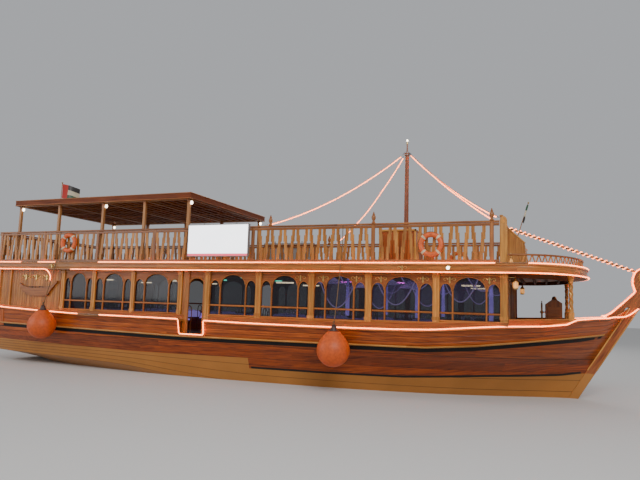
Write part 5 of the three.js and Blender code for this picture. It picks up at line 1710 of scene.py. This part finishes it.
buoy_orange = moulded_foam("buoy_orange", (0.80, 0.13, 0.02), (0.55, 0.09, 0.02))
buoy_band = moulded_foam("buoy_band", (0.78, 0.62, 0.40), (0.5, 0.36, 0.2))
for place_name, (x, z) in BUOYS.items():
    for name, sign in (("port", 1), ("stbd", -1)):
        ring, bands, grab = Mesh(), Mesh(), Mesh()
        y = sign * (2.45 + RING_THICK + 0.001)

        def on_ring(a, r=RING_R, out=0.0):
            return (x + r * math.cos(a), y + out, z + r * math.sin(a))

        tube(ring, [on_ring(a) for a in angles(48)], RING_THICK, 18, closed=True)
        for q in range(4):
            a0 = math.pi / 4 + q * math.pi / 2
            arc = [a0 + d * 0.1 for d in (-1, -0.5, 0, 0.5, 1)]
            tube(bands, [on_ring(a) for a in arc], RING_THICK + 0.003, 18)
            rope = []
            for k in range(13):
                t = k / 12
                r = RING_R + RING_THICK * 0.6 + 0.022 * math.sin(math.pi * t)
                rope.append(on_ring(a0 + t * math.pi / 2, r, sign * 0.048))
            tube(grab, rope, 0.006, 6)
        top, bar = z + RING_R + 0.075, sign * 2.44
        sling = [(x - 0.03, y, top), (x - 0.02, bar, 4.36), (x + 0.02, bar, 4.36), (x + 0.03, y, top)]
        tube(grab, sling, 0.006, 6)
        label = "lifebuoy_%s_%s" % (place_name, name)
        ring.place(label + "_ring", buoy_orange, smooth=True, slot="lifebuoy_orange", replaces=[label])
        bands.place(label + "_bands", buoy_band, smooth=True)
        grab.place(label + "_line", hemp, smooth=True)

# FENDERS
# Balloon fenders of thick orange vinyl, each with a dark moulded neck and eye, hang on a rope from
# the upper rail.
FENDERS = {"fore": (2.92, 1.11), "aft": (-7.13, 1.33)}
BALL = 0.43
vinyl = moulded_foam("fender_vinyl", (0.64, 0.10, 0.010), (0.50, 0.075, 0.010))
neck_vinyl = moulded_foam("neck_vinyl", (0.075, 0.03, 0.022), (0.035, 0.018, 0.015))
for place_name, (x, z) in FENDERS.items():
    reach_out = abs(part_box("fender_%s_port" % place_name)[1].y) - BALL
    for name, sign in (("port", 1), ("stbd", -1)):
        ball, neck, rope = Mesh(), Mesh(), Mesh()
        at_fender = standing(x, sign * reach_out, z)
        profile = [(0.004, -BALL)]
        for k in range(1, 20):
            a = -math.pi / 2 + k * (math.pi * 0.72) / 19
            profile.append((BALL * math.cos(a), BALL * math.sin(a)))
        a = profile[-1]
        profile += [(a[0] * 0.78, a[1] + 0.095), (a[0] * 0.58, a[1] + 0.17), (a[0] * 0.42, a[1] + 0.22)]
        turned(ball, at_fender, profile, 32)
        last = profile[-1]
        collar = [(last[0] + 0.012, last[1] - 0.03), (last[0] + 0.016, last[1])]
        moulded = [(0.10, 0.50), (0.072, 0.57), (0.062, 0.60), (0.066, 0.625), (0.04, 0.64)]
        turned(neck, at_fender, collar + moulded, 24)
        eye = [at_fender(0.035 * math.cos(a), 0, 0.62 + 0.035 * math.sin(a)) for a in angles(12)]
        tube(neck, eye, 0.014, 8, closed=True)
        hung = [(reach_out * 0.6 + BAND_FACE * 0.4, z + 1.2), (BAND_FACE, 3.40), (2.47, 3.52)]
        hung += [(2.445, 3.9), (2.455, 4.44)]
        tube(rope, [at_fender(0, 0, 0.655)] + [(x, sign * out, h) for out, h in hung], 0.012, 8)
        for h in (0.66, 0.70, 0.73):
            knot = [(0.022 * math.cos(a), 0.022 * math.sin(a), h + 0.01 * math.cos(a)) for a in angles(10)]
            tube(rope, [at_fender(*p) for p in knot], 0.012, 6, closed=True)
        label = "fender_%s_%s" % (place_name, name)
        ball.place(label + "_ball", vinyl, smooth=True, slot="fender_orange", replaces=[label])
        neck.place(label + "_neck", neck_vinyl, smooth=True)
        rope.place(label + "_rope", hemp, smooth=True)

# FORE POSTS
# Two posts turned with a deep twist carry the round of the upper deck over the foredeck, each on a
# square plinth, with a gilded strand carved in the hollow of the twist.
POST_X, POST_Y = 8.615, 1.55
SHAFT_LOW, SHAFT_HIGH = 2.33, 2.98
TWIST_TURNS = 1.75
for name, sign in (("port", 1), ("stbd", -1)):
    twist, strand = Mesh(), Mesh()
    start = len(twist.points)
    heights = spread(SHAFT_LOW, SHAFT_HIGH, 0.02)
    turns = TWIST_TURNS * 2 * math.pi
    for h in heights:
        t = (h - SHAFT_LOW) / (SHAFT_HIGH - SHAFT_LOW)
        for a in angles(24):
            r = 0.044 + 0.010 * math.cos(2 * (a + t * turns))
            twist.points.append((POST_X + r * math.cos(a), sign * POST_Y + r * math.sin(a), h))
    for i in range(len(heights) - 1):
        for k in range(24):
            m = (k + 1) % 24
            a, b = start + i * 24, start + (i + 1) * 24
            h0, h1 = heights[i], heights[i + 1]
            twist.face([a + k, a + m, b + m, b + k], [(h0, 0.0), (h0, 0.01), (h1, 0.01), (h1, 0.0)], 0.6)
    on_post = standing(POST_X, sign * POST_Y, 0)
    base = [(0.063, 2.248), (0.064, 2.27), (0.052, 2.29), (0.060, 2.315), (0.051, 2.34)]
    turned(twist, on_post, base, 20)
    capital = [(0.048, 2.97), (0.058, 2.995), (0.050, 3.02), (0.060, 3.06), (0.071, 3.11), (0.071, 3.125)]
    turned(twist, on_post, capital, 20)
    board(twist, on_post(0, 0, 2.045), on_post(0, 0, 2.25), 0.138, 0.138, ALONG, 0.01)
    board(twist, on_post(0, 0, 3.12), on_post(0, 0, 3.158), 0.152, 0.152, ALONG, 0.008)
    twist.place(
        "twisted_post_" + name, pillar_wood, smooth=True,
        slot="frame_wood", replaces=["fore_post_" + name],
    )
    for turn in (math.pi / 2, -math.pi / 2):
        wound = []
        for h in spread(SHAFT_LOW + 0.02, SHAFT_HIGH - 0.02, 0.02):
            a = turn - (h - SHAFT_LOW) / (SHAFT_HIGH - SHAFT_LOW) * turns
            wound.append(on_post(0.037 * math.cos(a), 0.037 * math.sin(a), h))
        tube(strand, wound, 0.009, 6)
    strand.place("post_strand_" + name, gilding, smooth=True, slot="frame_wood")

# HELM
# The boat is steered from the foredeck: a panelled console with a sloping top carries the spoked
# wheel on a brass boss, with a compass and two gauges above.
console = Mesh()
console_side = [(8.015, 1.152), (8.445, 1.152), (8.445, 2.50), (8.30, 2.598), (8.20, 2.598), (8.015, 2.46)]
for side in (-1, 1):
    slab(console, console_side, upright, side * 0.282 - 0.016, side * 0.282 + 0.016, 0.006, grain=(0, 1))
    for z0, z1 in ((1.30, 1.85), (1.95, 2.40)):
        panel = [(8.07, z0), (8.39, z0), (8.39, z1), (8.07, z1)]
        slab(console, panel, upright, side * 0.299 - 0.007, side * 0.299 + 0.007, 0.005)
for k in range(5):
    y = -0.2125 + 0.10625 * k
    for xa, za, xb, zb, thick in (
        (8.030, 1.16, 8.030, 2.44, 0.024),
        (8.430, 1.16, 8.430, 2.50, 0.024), (8.024, 2.45, 8.20, 2.588, 0.02),
        (8.20, 2.588, 8.30, 2.588, 0.02), (8.30, 2.586, 8.44, 2.492, 0.02),
    ):
        board(console, (xa, y, za), (xb, y, zb), 0.104, thick, ACROSS, 0.004)
console.place("console_boards", door_wood, slot="dark_wood", replaces=["helm_console"])
instruments = Mesh()
slope = Vector((0.176, 0, 0.138)).normalized()
for y, r in ((-0.17, 0.045), (0.0, 0.065), (0.17, 0.045)):
    centre = Vector((8.11, y, 2.527))
    ring = [centre + slope * r * math.cos(a) + Vector((0, r * math.sin(a), 0)) for a in angles(20)]
    tube(instruments, ring, 0.007, 6, closed=True)
compass = [(0.07, 0.0), (0.075, 0.012), (0.06, 0.03), (0.062, 0.035), (0.045, 0.075), (0.012, 0.09)]
turned(instruments, standing(8.25, 0, 2.598), compass, 20)
instruments.place("helm_instruments", brass, smooth=True)

wheel, wheel_brass = Mesh(), Mesh()
WHEEL = (7.93, 0.0, 2.25)


def on_wheel(u, v, w):
    return (WHEEL[0] + w, u, WHEEL[2] + v)


for k in range(8):
    a = k * math.pi / 4
    c, s = math.cos(a), math.sin(a)
    spoke = [
        (0.014, 0.045), (0.010, 0.07), (0.016, 0.10), (0.011, 0.13), (0.013, 0.20), (0.012, 0.222),
        (0.012, 0.258), (0.009, 0.265), (0.014, 0.285), (0.013, 0.30), (0.006, 0.31),
    ]
    turned(wheel, lambda u, v, h: (WHEEL[0] + u, v * s + h * c, WHEEL[2] + h * s - v * c), spoke, 10)
for z_off in (-1, 1):
    ring = [on_wheel(0.24 * math.cos(a), 0.24 * math.sin(a), 0.006 * z_off) for a in angles(40)]
    tube(wheel, ring, 0.016, 8, closed=True)
wheel.place(
    "wheel_rim_and_spokes", pillar_wood, body="helm_wheel",
    smooth=True, slot="frame_wood", replaces=["helm_wheel"],
)
boss = [(0.012, -0.05), (0.022, -0.044), (0.03, -0.03), (0.052, -0.02), (0.052, 0.02), (0.03, 0.028)]
turned(wheel_brass, on_wheel, boss + [(0.018, 0.036), (0.018, 0.205)], 20)
for r in (0.228, 0.252):
    ring = [on_wheel(r * math.cos(a), r * math.sin(a), -0.02) for a in angles(40)]
    tube(wheel_brass, ring, 0.003, 5, closed=True)
wheel_brass.place("wheel_boss", brass, body="helm_wheel", smooth=True)

# FLAG POLES AND FLAGS
# A slim staff at the stern flies a small ensign of a red hoist and three plain bars. A shorter
# pole on the hood carries a flag rolled round its head.
pole_wood = varnished("pole_wood", (0.20, 0.075, 0.025), (0.45, 0.19, 0.06), grain="z", rough=0.35)
finish_nodes(pole_wood, "ensign_staff", "bow_pole")


def bunting(name):
    """Woven flag cloth: a red hoist, then black, cream and dark green bars."""
    flag = Finish(name)
    uv = flag.add("ShaderNodeUVMap", {}, uv_map="grain")
    fly, drop = [flag.add("ShaderNodeSeparateXYZ", {0: uv}, k) for k in (0, 1)]
    second, third = [flag.reckon("GREATER_THAN", drop, at) for at in (0.34, 0.67)]
    bars = flag.mix(second, (0.025, 0.022, 0.02), (0.55, 0.48, 0.33))
    bars = flag.mix(third, bars, (0.03, 0.09, 0.045))
    weave = flag.add("ShaderNodeTexChecker", {"Vector": uv, "Scale": 400}, "Fac")
    return flag.done({
        "Base Color": flag.mix(flag.reckon("LESS_THAN", fly, 0.27), bars, (0.45, 0.03, 0.02)),
        "Roughness": 0.85,
        "Sheen Weight": 0.3,
        "Normal": flag.bump(weave, 0.25, 0.001),
    })


def cloth(name, finish, point, across, down, body="boat"):
    """A thin woven sheet: point(u, v) gives each place of it for u and v from 0 to 1."""
    made = Mesh()
    for i in range(across + 1):
        for j in range(down + 1):
            made.points.append(point(i / across, j / down))
    for i in range(across):
        for j in range(down):
            a = i * (down + 1) + j
            b = a + down + 1
            u0, u1, v0, v1 = i / across, (i + 1) / across, j / down, (j + 1) / down
            made.face([a, b, b + 1, a + 1], [(u0, v0), (u1, v0), (u1, v1), (u0, v1)], 0.5)
    return made.place(name, finish, body=body, smooth=True)


FLAG_W, FLAG_H = 1.08, 0.56


def ensign_point(u, v):
    droop = 0.16 * u + 0.12 * u * u
    wave = 0.065 * math.sin(2.3 * math.pi * u - 0.7 * v) * (0.35 + u)
    x = -9.832 + 0.018 + u * FLAG_W * 0.93 * 0.88
    y = wave + 0.03 * math.sin(5 * u + 2 * v)
    return (x, y, 6.72 - v * FLAG_H - droop * 0.9 - 0.02 * math.sin(6 * u) * v)


ensign_cloth = bunting("ensign_cloth")
ensign = cloth("ensign", ensign_cloth, ensign_point, 34, 14)


def rolled_point(u, v):
    base = Vector((7.31, -0.06, 4.33)).lerp(Vector((7.61, -0.06, 5.31)), 0.50 + 0.44 * v)
    a = u * 4.4 * math.pi
    r = 0.014 + 0.011 * u * (1.0 + 0.5 * math.sin(3 * math.pi * v)) + 0.004 * math.sin(7 * v + a)
    return (base.x + r * math.cos(a), base.y + r * math.sin(a), base.z - 0.10 * u * (1 - v))


rolled = cloth("rolled_flag", ensign_cloth, rolled_point, 60, 14)


def flat_area(piece):
    return sum(face.area for face in piece.data.polygons)


pole_fittings = Mesh()
for x, y, z, r in ((-9.83, 0, 6.77, 0.022), (7.61, -0.06, 5.31, 0.016)):
    truck = [(r, -0.03), (r * 1.5, -0.012), (r * 1.7, 0.0), (r, 0.016), (0.003, 0.024)]
    turned(pole_fittings, standing(x, y, z), truck, 12)
for z in (3.5, 4.44):
    t = (z - 3.39) / 3.38
    centre = -9.86 + 0.03 * t
    ring = [(centre + 0.026 * math.cos(a), 0.026 * math.sin(a), z) for a in angles(16)]
    tube(pole_fittings, ring, 0.006, 6, closed=True)
pole_fittings.place("pole_fittings", brass, smooth=True)

# LAMPS
# Brass framed lanterns hang from arms at the saloon's front corners and stand on the deck by the
# ends of the screen. A round lamp is let into the deck band each side, clear bulbs hang in brass
# cups under the canopy beside its posts, and a masthead lamp stands over the hounds.
lantern_glass = lamp_glow("lantern_glass", (1.0, 0.46, 0.12), 0.9)
bulb_glass = lamp_glow("bulb_glass", (1.0, 0.88, 0.70), 7.0)
lantern_metal, lantern_lights, bulbs = Mesh(), Mesh(), Mesh()


def lantern(x, y, z, r=0.064, high=0.16):
    at = standing(x, y, z)
    eaves = r * 1.15
    roof = [(eaves, high - 0.008), (eaves, high + 0.006), (r * 0.62, high + 0.05), (0.013, high + 0.118)]
    turned(lantern_metal, at, roof + [(0.008, high + 0.13)], 16)
    turned(lantern_lights, at, [(r * 0.8, 0.01), (r, high * 0.35), (r * 0.9, high - 0.006)], 16)
    turned(lantern_metal, at, [(r * 0.3, -0.026), (r * 0.95, -0.018), (r * 0.95, 0.012)], 16)
    for a in angles(6):
        bar = [(r * 0.86, 0.0), (r * 1.06, high * 0.35), (r * 0.98, high)]
        tube(lantern_metal, [at(out * math.cos(a), out * math.sin(a), h) for out, h in bar], 0.004, 5)


for side in (-1, 1):
    lantern(7.35, side * 2.24, 2.80)
    tube(lantern_metal, [(7.121, side * 2.24, 3.07), (7.365, side * 2.24, 3.07)], 0.0115, 8)
    rose = [(0.04, 0.0), (0.034, 0.01), (0.014, 0.016)]
    turned(lantern_metal, lambda u, v, h: (7.12 + h, side * 2.24 + u, 3.07 + v), rose, 16)
    lantern(7.25, side * 2.30, 3.42, 0.046, 0.12)

    def on_band(u, v, h):
        return (5.77 + u, side * (2.566 + h), 3.275 + v)

    turned(lantern_metal, on_band, [(0.062, -0.01), (0.062, 0.012), (0.046, 0.02)], 16)
    turned(bulbs, on_band, [(0.046, 0.012), (0.036, 0.035), (0.003, 0.045)], 14)
    for x in (-9.11, -5.42, -2.10):
        cup = standing(x, side * 2.30, 5.322)
        bulb = [(0.005, -0.110), (0.033, -0.090), (0.044, -0.053), (0.033, -0.01), (0.026, 0.0)]
        turned(lantern_metal, cup, [(0.034, -0.002), (0.037, 0.024), (0.020, 0.042)], 14)
        turned(bulbs, cup, bulb, 14)
masthead = standing(MAST_X, 0, 0)
turned(lantern_metal, masthead, [(0.03, 7.285), (0.034, 7.30), (0.022, 7.33), (0.03, 7.37)], 12)
turned(bulbs, masthead, [(0.024, 7.37), (0.03, 7.40), (0.022, 7.43), (0.004, 7.445)], 12)
lantern_metal.place("lantern_frames", brass, smooth=True)
lantern_lights.place("lantern_glasses", lantern_glass, smooth=True)
bulbs.place("bulbs", bulb_glass, smooth=True)

# SALOON INSIDE
# Pedestal tables under white cloths stand in two rows along the windows, each row on a sole plank,
# with bent wood chairs. Sheer swags with corded hems, gathered tails and pleated lamp shades of the
# same gauze hang in the forward windows, and coloured tubes run under the deck beams.
linen_seed = random.Random(7)


def woven(name, colour, shade, painted_glow, alpha=1.0):
    """Fine woven stuff; its glow is painted light: the colour and strength of the lamp light that falls on
    or through it, given off by the cloth itself.
    """
    fabric = Finish(name)
    return fabric.done({
        "Base Color": fabric.ramp(fabric.noise(fabric.where(), 5), shade, colour, 0.3, 0.7),
        "Roughness": 0.85,
        "Sheen Weight": 0.35,
        "Alpha": alpha,
        "Emission Color": painted_glow[0],
        "Emission Strength": painted_glow[1],
        "Normal": fabric.bump(fabric.noise(fabric.where(), 260), 0.3, 0.001),
    })


# The cloths are white: their violet tint and their glow are painted light from the coloured tubes.
linen = woven("table_linen", (0.62, 0.58, 0.85), (0.40, 0.34, 0.68), painted_glow=((0.42, 0.32, 1.0), 0.30))
# The glow of the window gauze, its corded hems and the pleated tails and lamp shades is painted light: none
# of them is a lamp, and no lamp hangs in the shades.
gauze = woven(
    "window_gauze", (0.40, 0.26, 0.66), (0.14, 0.07, 0.30), painted_glow=((0.36, 0.16, 0.9), 0.16), alpha=0.38,
)
hem_cord = woven("gauze_hem", (0.74, 0.64, 0.94), (0.50, 0.38, 0.80), painted_glow=((0.62, 0.45, 1.0), 0.55))
pleated_gauze = woven(
    "pleated_gauze", (0.70, 0.62, 0.92), (0.42, 0.32, 0.74), painted_glow=((0.52, 0.40, 1.0), 0.6), alpha=0.85,
)
FLOOR_Z = 1.15
TABLE_TOP = 1.90
TABLE_X, TABLE_Y = 0.42, 0.38
furniture, place_settings = Mesh(), Mesh()


def bentwood_chair(x, y, facing):
    seat = FLOOR_Z + 0.46
    for dx in (-0.18, 0.18):
        for dy in (-0.17, 0.17):
            foot = (x + dx * 1.1, y + dy * 1.1, FLOOR_Z + 0.002)
            tube(furniture, [foot, (x + dx, y + dy, seat)], 0.014, 6)
    ring = [(x + 0.2 * math.cos(a), y + 0.19 * math.sin(a), seat + 0.012) for a in angles(18)]
    tube(furniture, ring, 0.016, 6, closed=True)
    pad = [(0.19, -0.004), (0.195, 0.008), (0.17, 0.016), (0.01, 0.012)]
    turned(furniture, standing(x, y, seat), pad, 14)
    back = []
    for k in range(13):
        a = math.pi * k / 12
        out, high = 0.19 + 0.05 * math.sin(a), 0.5 * math.sin(a) ** 0.7
        back.append((x - facing * out, y + 0.19 * math.cos(a), seat + high))
    tube(furniture, back, 0.014, 6)


pedestal = [
    (0.222, FLOOR_Z + 0.002), (0.205, FLOOR_Z + 0.04), (0.055, FLOOR_Z + 0.08), (0.047, FLOOR_Z + 0.35),
    (0.052, TABLE_TOP - 0.10), (0.125, TABLE_TOP - 0.03),
]
plate = [(0.02, 0.006), (0.10, 0.012), (0.105, 0.018), (0.02, 0.012)]
goblet = [(0.03, 0.006), (0.004, 0.012), (0.004, 0.08), (0.03, 0.11), (0.034, 0.16), (0.028, 0.17)]
TABLES = [-6.2, -4.9, -3.3, -0.45, 1.15, 2.8, 4.5, 6.1]
OVERHANG = 0.26
long_side, wide = 2 * (TABLE_X + OVERHANG), 2 * (TABLE_Y + OVERHANG)
for k, tx in enumerate(TABLES):
    for sign in (-1, 1):
        ty = sign * (1.66 if tx < 4 else (1.58 if tx < 5.5 else 1.35))
        turned(furniture, standing(tx, ty, 0), pedestal, 14)
        ends = [(tx + step * (TABLE_X + 0.002), ty, TABLE_TOP - 0.019) for step in (-1, 1)]
        board(furniture, *ends, 2 * TABLE_Y + 0.004, 0.042, ACROSS, 0.006)
        for face in (-1, 1):
            bentwood_chair(tx + face * 0.66, ty, -face)
        phase = linen_seed.uniform(0, 6)

        def draped(u, v):
            a, b = (u - 0.5) * long_side, (v - 0.5) * wide
            over_a, over_b = max(abs(a) - TABLE_X, 0), max(abs(b) - TABLE_Y, 0)
            px = math.copysign(min(abs(a), TABLE_X), a)
            py = math.copysign(min(abs(b), TABLE_Y), b)
            corner = min(over_a, over_b)
            hang = max(over_a, over_b) + corner * 0.12
            ripple = 0.016 * math.sin(14 * (a + b) + phase) * min(1, hang * 6)
            flare = 0.012 + ripple + 0.10 * hang * 0.5 + corner * 0.55
            px += math.copysign(flare, a) if over_a > 0 else 0.0
            py += math.copysign(flare, b) if over_b > 0 else 0.0
            return (tx + px, ty + py, TABLE_TOP + 0.003 - hang * 0.96)

        label = "tablecloth_%d_%s" % (k, SIDE_NAME[sign])
        spread_cloth = cloth(label, linen, draped, 26, 24)
        for px, py in ((-0.25, -0.2), (0.25, -0.2), (-0.25, 0.2), (0.25, 0.2)):
            turned(place_settings, standing(tx + px, ty + py, TABLE_TOP), plate, 14)
            turned(place_settings, standing(tx + px * 0.5, ty + py * 0.9, TABLE_TOP), goblet, 10)
for sign in (-1, 1):
    marks = [(-6.5, 1.66), (2.9, 1.66), (4.52, 1.578), (6.35, 1.31)]
    for (x0, y0), (x1, y1) in zip(marks, marks[1:]):
        ends = (x0, sign * y0, FLOOR_Z + 0.0125), (x1, sign * y1, FLOOR_Z + 0.0125)
        board(furniture, *ends, 0.196, 0.024, ACROSS, 0.004)
tables = ["saloon_tables_port", "saloon_tables_stbd"]
furniture.place("saloon_furniture", door_wood, smooth=True, slot="dark_wood", replaces=tables)


def glazed_china(name):
    glaze = Finish(name)
    colour = glaze.ramp(glaze.noise(None, 30), (0.62, 0.60, 0.66), (0.85, 0.84, 0.88))
    return glaze.done({"Base Color": colour, "Roughness": 0.12})


place_settings.place("place_settings", glazed_china("glazed_china"), smooth=True)

for b, (x0, x1) in enumerate(bays[5:]):
    for sign in (-1, 1):
        side_name = SIDE_NAME[sign]
        hangings = ((0.03, 0.80 - 0.08 * b, 3.09, 0.86 - 0.12 * b), (0.45, 0.97, 3.10, 0.34))
        for part, (a, c, top, dip) in enumerate(hangings):
            left, right = x0 + (x1 - x0) * a, x0 + (x1 - x0) * c

            def swag(u, v):
                hang = (1 - (2 * u - 1) ** 2) * (0.16 + (dip - 0.16) * v)
                fold = 0.018 * math.sin(v * 25 + u * 2) * math.sin(math.pi * u)
                y = 2.17 - 0.05 * part + fold
                return (left + (right - left) * u, sign * y, top - hang - 0.03 * v)

            label = "%d_%d_%s" % (b, part, side_name)
            hung = cloth("swag_" + label, gauze, swag, 30, 22)
            cord = Mesh()
            tube(cord, [swag(k / 24, 1.0) for k in range(25)], 0.017, 6)
            hem = cord.place("swag_hem_" + label, hem_cord, smooth=True)
        tail_x = x0 + (x1 - x0) * (0.60 + 0.12 * b)

        def tail(u, v):
            wide = 0.05 + 0.06 * v + 0.03 * math.sin(3 * v)
            y = 2.06 + 0.022 * math.sin(u * 9 * math.pi)
            return (tail_x + (u - 0.5) * wide, sign * y, 3.11 - 1.12 * v)

        drop = cloth("tail_%d_%s" % (b, side_name), pleated_gauze, tail, 36, 16)
        round(flat_area(drop) / 1.12, 3)
for k, (x, y) in enumerate(((2.24, 1.45), (3.92, 1.45))):
    for sign in (-1, 1):

        def shade(u, v):
            turn = 2 * math.pi * u
            r = (0.03 + 0.36 * v) * (1 + 0.05 * v * math.sin(13 * turn))
            return (x + r * math.cos(turn), sign * (y + r * math.sin(turn)), 3.13 - 0.25 * v ** 0.8)

        tent = cloth("lamp_shade_%d_%s" % (k, SIDE_NAME[sign]), pleated_gauze, shade, 104, 6)
violet_tube = lamp_glow("violet_tube", (0.95, 0.12, 1.0), 7.0)
teal_tube = lamp_glow("teal_tube", (0.08, 0.9, 0.62), 4.0)
warm_tube = lamp_glow("warm_tube", (1.0, 0.82, 0.55), 4.0)
violet, teal, warm, caps = Mesh(), Mesh(), Mesh(), Mesh()
for made, z, places in (
    (violet, 3.04, ((1.32, 2.22), (3.42, 3.88))),
    (teal, 3.04, ((-5.2, -4.75), (-3.05, -2.7), (-0.95, -0.5))),
    (warm, 2.90, ((-6.5, -6.0), (-3.6, -3.1), (0.3, 0.9), (5.9, 6.4))),
):
    for x0, x1 in places:
        for y in (-1.05, 1.05):
            tube(made, [(x, y, z) for x in (x0, (x0 + x1) / 2, x1)], 0.022, 8)
            for x in (x0 - 0.02, x1 + 0.02):
                tube(caps, [(x - 0.02, y, z), (x + 0.02, y, z)], 0.026, 8)
                tube(caps, [(x, y, z), (x, y, 3.158)], 0.006, 6)
violet.place("violet_tubes", violet_tube, smooth=True)
teal.place("teal_tubes", teal_tube, smooth=True)
warm.place("warm_tubes", warm_tube, smooth=True)
caps.place("tube_holders", galvanised, smooth=True)

# FLOOR AND LIGHT
# A plain pale floor at the waterline, a wide soft key from above the starboard bow, a fill from
# the far side and an even pale surround.
floor_mesh = bpy.data.meshes.new("floor")
floor_mesh.from_pydata([(-90, -90, 0), (90, -90, 0), (90, 90, 0), (-90, 90, 0)], [], [(0, 1, 2, 3)])
floor = bpy.data.objects.new("floor", floor_mesh)
bpy.context.scene.collection.objects.link(floor)
floor_paint = Finish("floor_paint")
floor_mesh.materials.append(floor_paint.done({"Base Color": (0.62, 0.61, 0.59), "Roughness": 0.85}))
for name, where, aim, size, power in (
    ("key", (14, -22, 17), (0, 0, 2), 14, 4200),
    ("fill", (-20, -16, 9), (-2, 0, 2), 14, 1500),
    ("back", (-4, 22, 14), (0, 0, 2), 16, 2000),
):
    lamp = bpy.data.lights.new(name, "AREA")
    lamp.size = size
    lamp.energy = power
    holder = bpy.data.objects.new(name, lamp)
    holder.location = where
    holder.rotation_euler = (Vector(aim) - Vector(where)).to_track_quat("-Z", "Y").to_euler()
    bpy.context.scene.collection.objects.link(holder)
surround = bpy.data.worlds.new("surround")
surround.use_nodes = True
surround.node_tree.nodes["Background"].inputs[0].default_value = (0.80, 0.82, 0.86, 1)
surround.node_tree.nodes["Background"].inputs[1].default_value = 0.55
bpy.context.scene.world = surround
